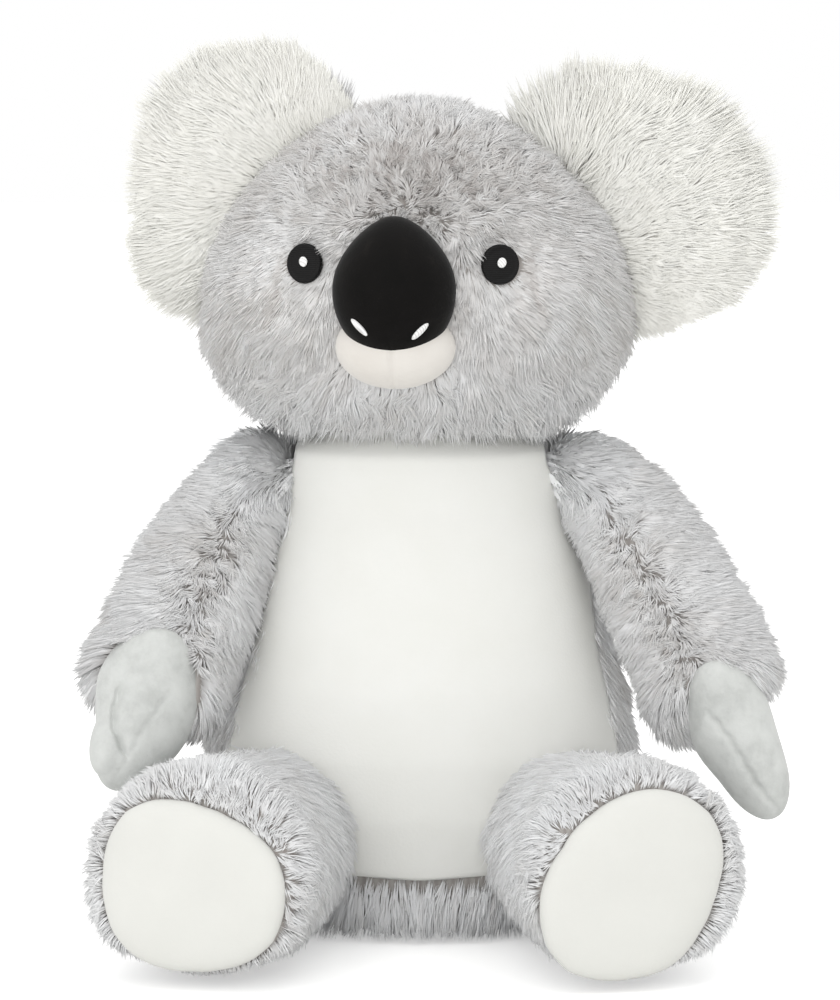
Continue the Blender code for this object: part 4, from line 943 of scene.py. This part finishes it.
for side, word in ((-1, "left"), (1, "right")):
    x, z = side * 0.0110, 0.0458 - 0.0007 * side
    half = (0.0230, 0.0230, 0.0260)
    y = NOSE_Y - half[1] * math.sqrt(1 - (x / half[0]) ** 2 - ((z - NOSE_Z) / half[2]) ** 2)
    stitch = domed(f"nostril_{word}_stitch", (0.0084, 0.0016, 0.0029), (0.0, 0.0, 0.0), WHITE_THREAD, 1)
    out = Vector((x / half[0] ** 2, (y - NOSE_Y) / half[1] ** 2, (z - NOSE_Z) / half[2] ** 2))
    turn = Vector((0.0, -1.0, 0.0)).rotation_difference(out.normalized()).to_matrix().to_4x4()
    stitch.data.transform(neck @ Matrix.Translation((x + NOSE_X, y, z)) @ turn
                          @ Matrix.Rotation(math.radians(-side * 46), 4, "Y"))
    dress(stitch, "head", f"nostril_{word}")

# Eyes
# Embroidered straight onto the plush before it is sewn: a filled disc in black satin stitch with a raised rim,
# and a small white catchlight stitched over it.
# The same thread in black, less glossy, drawn 0.7 mm apart.
BLACK_THREAD = patterned(
    "black satin stitch", {"Roughness": 0.5, "Specular IOR Level": 0.2}, "ShaderNodeTexWave",
    {"Scale": 430.0, "Distortion": 2.0, "bands_direction": "Z"}, [(0.0, "040404"), (0.7, "121111")],
    {"Strength": 0.6, "Distance": 0.0002})

for (side, word), eye in zip(((-1, "left"), (1, "right")), EYES):
    y = face_y(eye[0], eye[2]) + 0.0043
    disc_rows = [(0.0, 0.0, rise, 0.00735 * share, 0.00755 * share) for rise, share in (
        (-0.0025, 0.97), (-0.0004, 1.0), (0.0006, 0.97), (0.0009, 0.88), (0.0007, 0.79), (0.0004, 0.72),
        (0.0007, 0.60), (0.0009, 0.30))]
    disc = stacked_rings(f"eye_{word}_stitch", disc_rows, 40)
    disc.data.materials.append(BLACK_THREAD)
    ahead = face_y(eye[0] + 0.004, eye[2]) - face_y(eye[0] - 0.004, eye[2])
    rise = face_y(eye[0], eye[2] + 0.004) - face_y(eye[0], eye[2] - 0.004)
    out = Vector((ahead / 0.008, -1.0, rise / 0.008)).normalized()
    turn = Vector((0.0, 0.0, 1.0)).rotation_difference(out).to_matrix().to_4x4()
    seat = neck @ Matrix.Translation((eye[0], y, eye[2])) @ turn
    disc.data.transform(seat)
    dress(disc, "head", f"eye_{word}")
    light = domed(f"eye_{word}_catchlight", (0.0034, 0.0038, 0.0012), (0.0, 0.0, 0.0), WHITE_THREAD, 1)
    light.data.transform(neck @ Matrix.Translation((eye[0] + 0.0002, y, eye[2] + 0.0006)) @ turn
                         @ Matrix.Translation((0.0, 0.0, 0.0012)))
    dress(light, "head", f"eye_{word}_highlight")

# Ears
# Each ear is a round flap sewn over the upper corner of the head: fine long white pile in front, plush behind.
# The white pile is about 15 mm long and fluffs out past the rim.
WHITE_PILE = pile_material(
    "white long polyester pile",
    [(0.0, "F1F0EA"), (0.3, "F7F6F1"), (1.0, "FAFAF6")], [(0.0, "F1EDE5"), (1.0, "F7F5F0")], 0.5)
WHITE_BACKING = retoned(BACKING, "white knitted backing", [(0.0, "E9E6DF"), (1.0, "F0EEE9")])
EAR = (0.096, 0.026, 0.110)
EAR_RIMS = {
    "left": ((0, 0.6), (30, 0.55), (74, 0.5), (86, 0.7), (96, 0.98), (119, 0.94), (140, 1.08), (161, 1.3),
             (185, 0.95), (205, 0.8), (222, 0.8), (240, 1.0), (263, 1.35), (290, 1.1), (320, 0.9), (360, 0.6)),
    "right": ((0, 1.28), (25, 1.25), (50, 0.9), (75, 0.95), (90, 1.3), (100, 1.4), (112, 1.6), (135, 1.5),
              (180, 1.0), (225, 0.8), (240, 0.75), (261, 0.4), (275, 0.6), (288, 0.85), (310, 1.0), (330, 1.15),
              (360, 1.28)),
}
EAR_RADIUS = 0.045
EAR_FAN = 0.030

for side, word, seat_height, reach, slant, seed in (
        (-1, "left", 0.0965, 0.044, 26.0, 51), (1, "right", 0.0825, 0.056, 30.0, 52)):
    wide, deep = head_halves(seat_height)
    seat_x = side * wide * math.sqrt(1 - (0.006 / deep) ** 2)
    seam = (neck @ Matrix.Translation((seat_x, -0.002, seat_height))
            @ Matrix.Rotation(math.radians(-side * slant), 4, "Y"))
    middle = side * (reach - EAR[0] / 2)
    for facing, face, slot, material, backing, count, length, width in (
            (-1, "front", "white_pile", WHITE_PILE, WHITE_BACKING, 28000, 0.0152, 0.0006),
            (1, "back", "grey_plush", GREY_PILE, BACKING, 14000, 0.0140, 0.00045)):
        flap = domed(f"ear_{word}_{face}_backing", (EAR[0] - 0.020, 0.0090, EAR[2] - 0.020), (middle, 0.0, 0.0),
                     backing, 0)
        grid = bmesh.new()
        grid.from_mesh(flap.data)
        cut = bmesh.ops.bisect_plane(grid, geom=grid.verts[:] + grid.edges[:] + grid.faces[:],
                                     plane_co=(0.0, facing * 0.0002, 0.0), plane_no=(0.0, -facing, 0.0),
                                     clear_outer=True)
        rim_edges = [edge for edge in cut["geom_cut"] if isinstance(edge, bmesh.types.BMEdge)]
        bmesh.ops.contextual_create(grid, geom=rim_edges)
        bmesh.ops.recalc_face_normals(grid, faces=grid.faces)
        grid.to_mesh(flap.data)
        grid.free()
        core = head_skin.copy()
        core.data = head_skin.data.copy()
        core.data.transform(seam.inverted())
        bpy.context.scene.collection.objects.link(core)
        bpy.ops.object.select_all(action="DESELECT")
        flap.select_set(True)
        bpy.context.view_layer.objects.active = flap
        applied(flap, "BOOLEAN", object=core)
        bpy.data.objects.remove(core)

        def off_middle(p):
            return np.hypot(p[:, 0] - middle, p[:, 2])

        def ear_scale(p, n):
            """Longer or shorter round the rim, as each ear was brushed."""
            turns, shares = zip(*EAR_RIMS[word])
            towards = np.degrees(np.arctan2(p[:, 2], p[:, 0] - middle)) % 360
            rim = ((off_middle(p) / EAR_RADIUS - 0.4) / 0.4).clip(0, 1)
            fringe = 0.38 * np.exp(-((towards - 68) / 13) ** 2) * (facing > 0) * (word == "left")
            return 0.72 + (np.interp(towards, turns, shares) - 0.72 + fringe) * rim

        def ear_comb(p, n):
            """Out from the seam to the rim."""
            return unit(p - (side * -EAR_FAN, 0.0, 0.0))

        def ear_lift(p, n):
            """Fluffed up a little in the middle, and straight out at the rim."""
            rim = np.arcsin((n * ear_comb(p, n)).sum(axis=1).clip(0, 1)) * 180 / math.pi
            return 17 * (1 - rim / 90) + rim, 5 * (1 - rim / 90) + rim

        def ear_ruffle(p, n):
            return (0.12 if facing < 0 else 0.0) * (off_middle(p) < 0.036)

        def ear_crowd(p, n):
            """Denser towards the rim of the white front."""
            return 1 + (facing < 0) * 1.5 * ((off_middle(p) / EAR_RADIUS - 0.6) / 0.3).clip(0, 1)

        def ear_keep(p, n):
            return (n[:, 1] * facing > -0.2) & (np.abs(p[:, 1]) > 0.00025)

        pile = grow_pile(f"ear_{word}_{face}_pile", flap, material, count, length, ear_comb, ear_lift, width,
                         ear_crowd, ear_keep, None, ear_scale, ear_ruffle, clump=22, pull=0.25, sag=0.03,
                         seed=seed, turn=seam, facing=(0.0, facing * 2.0, 0.0))
        flap.data.transform(seam)
        for piece in (pile, flap):
            dress(piece, f"ear_{word}", f"ear_{word}_{face}")

# Zip
# A fine nylon coil zip in the seat, dyed to the plush, with its slider and two crimped stops. The slider has no
# pull, so that a child can't open it.
# Polyester zip tape. The ribs of its twill lie 0.5 mm apart, and are drawn 1.1 mm apart, so that they show.
TAPE = patterned("woven zip tape", {"Roughness": 0.85}, "ShaderNodeTexWave",
                 {"Scale": 320.0, "bands_direction": "DIAGONAL"}, [(0.0, "9B9A9A"), (1.0, "B2B1B1")])
# Nylon coil, drawn smooth and dyed to the plush.
NYLON = patterned("dyed nylon coil", {"Roughness": 0.38}, "ShaderNodeTexNoise", {"Scale": 600.0},
                  [(0.3, "969595"), (0.7, "A5A4A4")])
# Nickel-plated zinc, tumbled, with faint wear.
NICKEL = patterned("nickel-plated zinc", {"Metallic": 1.0, "Roughness": 0.32}, "ShaderNodeTexNoise",
                   {"Scale": 700.0, "Detail": 4.0}, [(0.3, "ADAEB0"), (0.7, "C6C7C9")])

for node_name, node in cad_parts.items():
    finish = TAPE if "tape" in node_name else NYLON if "coil" in node_name else NICKEL
    if "zip" in node_name:
        for place in node.material_slots:
            place.material = finish

# Table top, light and camera
# A plain pale surface, with three large soft lamps and an even white surround. The camera stands 1.9 m off, six
# degrees above level, on a long lens.
FLOOR, floor_shader = new_material("pale table top", {"Base Color": hex_colour("F7F7F6"), "Roughness": 0.9})
floor_path = add_node(FLOOR, "ShaderNodeLightPath")
floor_glow = add_node(FLOOR, "ShaderNodeEmission", {"Color": (1.0, 1.0, 1.0, 1.0)},
                      {"Strength": (add_node(FLOOR, "ShaderNodeMath", {"operation": "MULTIPLY", 1: 0.45},
                                             {0: (floor_path, "Is Camera Ray")}), "Value")})
floor_sum = add_node(FLOOR, "ShaderNodeAddShader",
                     links={0: (floor_shader, "BSDF"), 1: (floor_glow, "Emission")})
floor_output = FLOOR.node_tree.nodes["Material Output"]
FLOOR.node_tree.links.new(floor_sum.outputs["Shader"], floor_output.inputs["Surface"])
bpy.ops.object.select_all(action="DESELECT")
bpy.ops.mesh.primitive_plane_add(size=12.0)
floor = bpy.context.object
floor.name = "table_top"
floor.data.materials.append(FLOOR)

world = bpy.data.worlds.new("soft white surround")
bpy.context.scene.world = world
world.use_nodes = True
surround = world.node_tree.nodes["Background"]
surround.inputs["Color"].default_value = (1.0, 1.0, 1.0, 1.0)
path = add_node(world, "ShaderNodeLightPath")
seen = (path, "Is Camera Ray")
for ray in ("Is Glossy Ray", "Is Transmission Ray"):
    seen = (add_node(world, "ShaderNodeMath", {"operation": "MAXIMUM"}, {0: seen, 1: (path, ray)}), "Value")
level = add_node(world, "ShaderNodeMapRange", {"To Min": 0.82, "To Max": 1.0}, {"Value": seen})
world.node_tree.links.new(level.outputs["Result"], surround.inputs["Strength"])

for name, place, size, power in (
        ("front", (-0.35, -2.5, 0.55), 1.6, 16.0), ("key", (-1.2, -1.8, 1.0), 1.8, 4.0),
        ("overhead", (0.0, -0.1, 1.9), 2.0, 8.0)):
    lamp = bpy.data.lights.new(name, "AREA")
    lamp.size = size
    lamp.energy = power
    holder = bpy.data.objects.new(name, lamp)
    bpy.context.scene.collection.objects.link(holder)
    holder.location = place
    holder.rotation_euler = (Vector((0.0, 0.0, 0.15)) - Vector(place)).to_track_quat("-Z", "Y").to_euler()

CAMERA_FAR, CAMERA_RISE, AIM_HEIGHT = 1.9, 6.0, 0.160
lens = bpy.data.cameras.new("camera")
lens.lens = 180.0
lens.sensor_width = 36.0
camera = bpy.data.objects.new("camera", lens)
bpy.context.scene.collection.objects.link(camera)
rise = math.radians(CAMERA_RISE)
camera.location = (0.0, -CAMERA_FAR * math.cos(rise), AIM_HEIGHT + CAMERA_FAR * math.sin(rise))
camera.rotation_euler = (math.radians(90.0 - CAMERA_RISE), 0.0, 0.0)
bpy.context.scene.camera = camera
bpy.context.scene.view_settings.view_transform = "Standard"
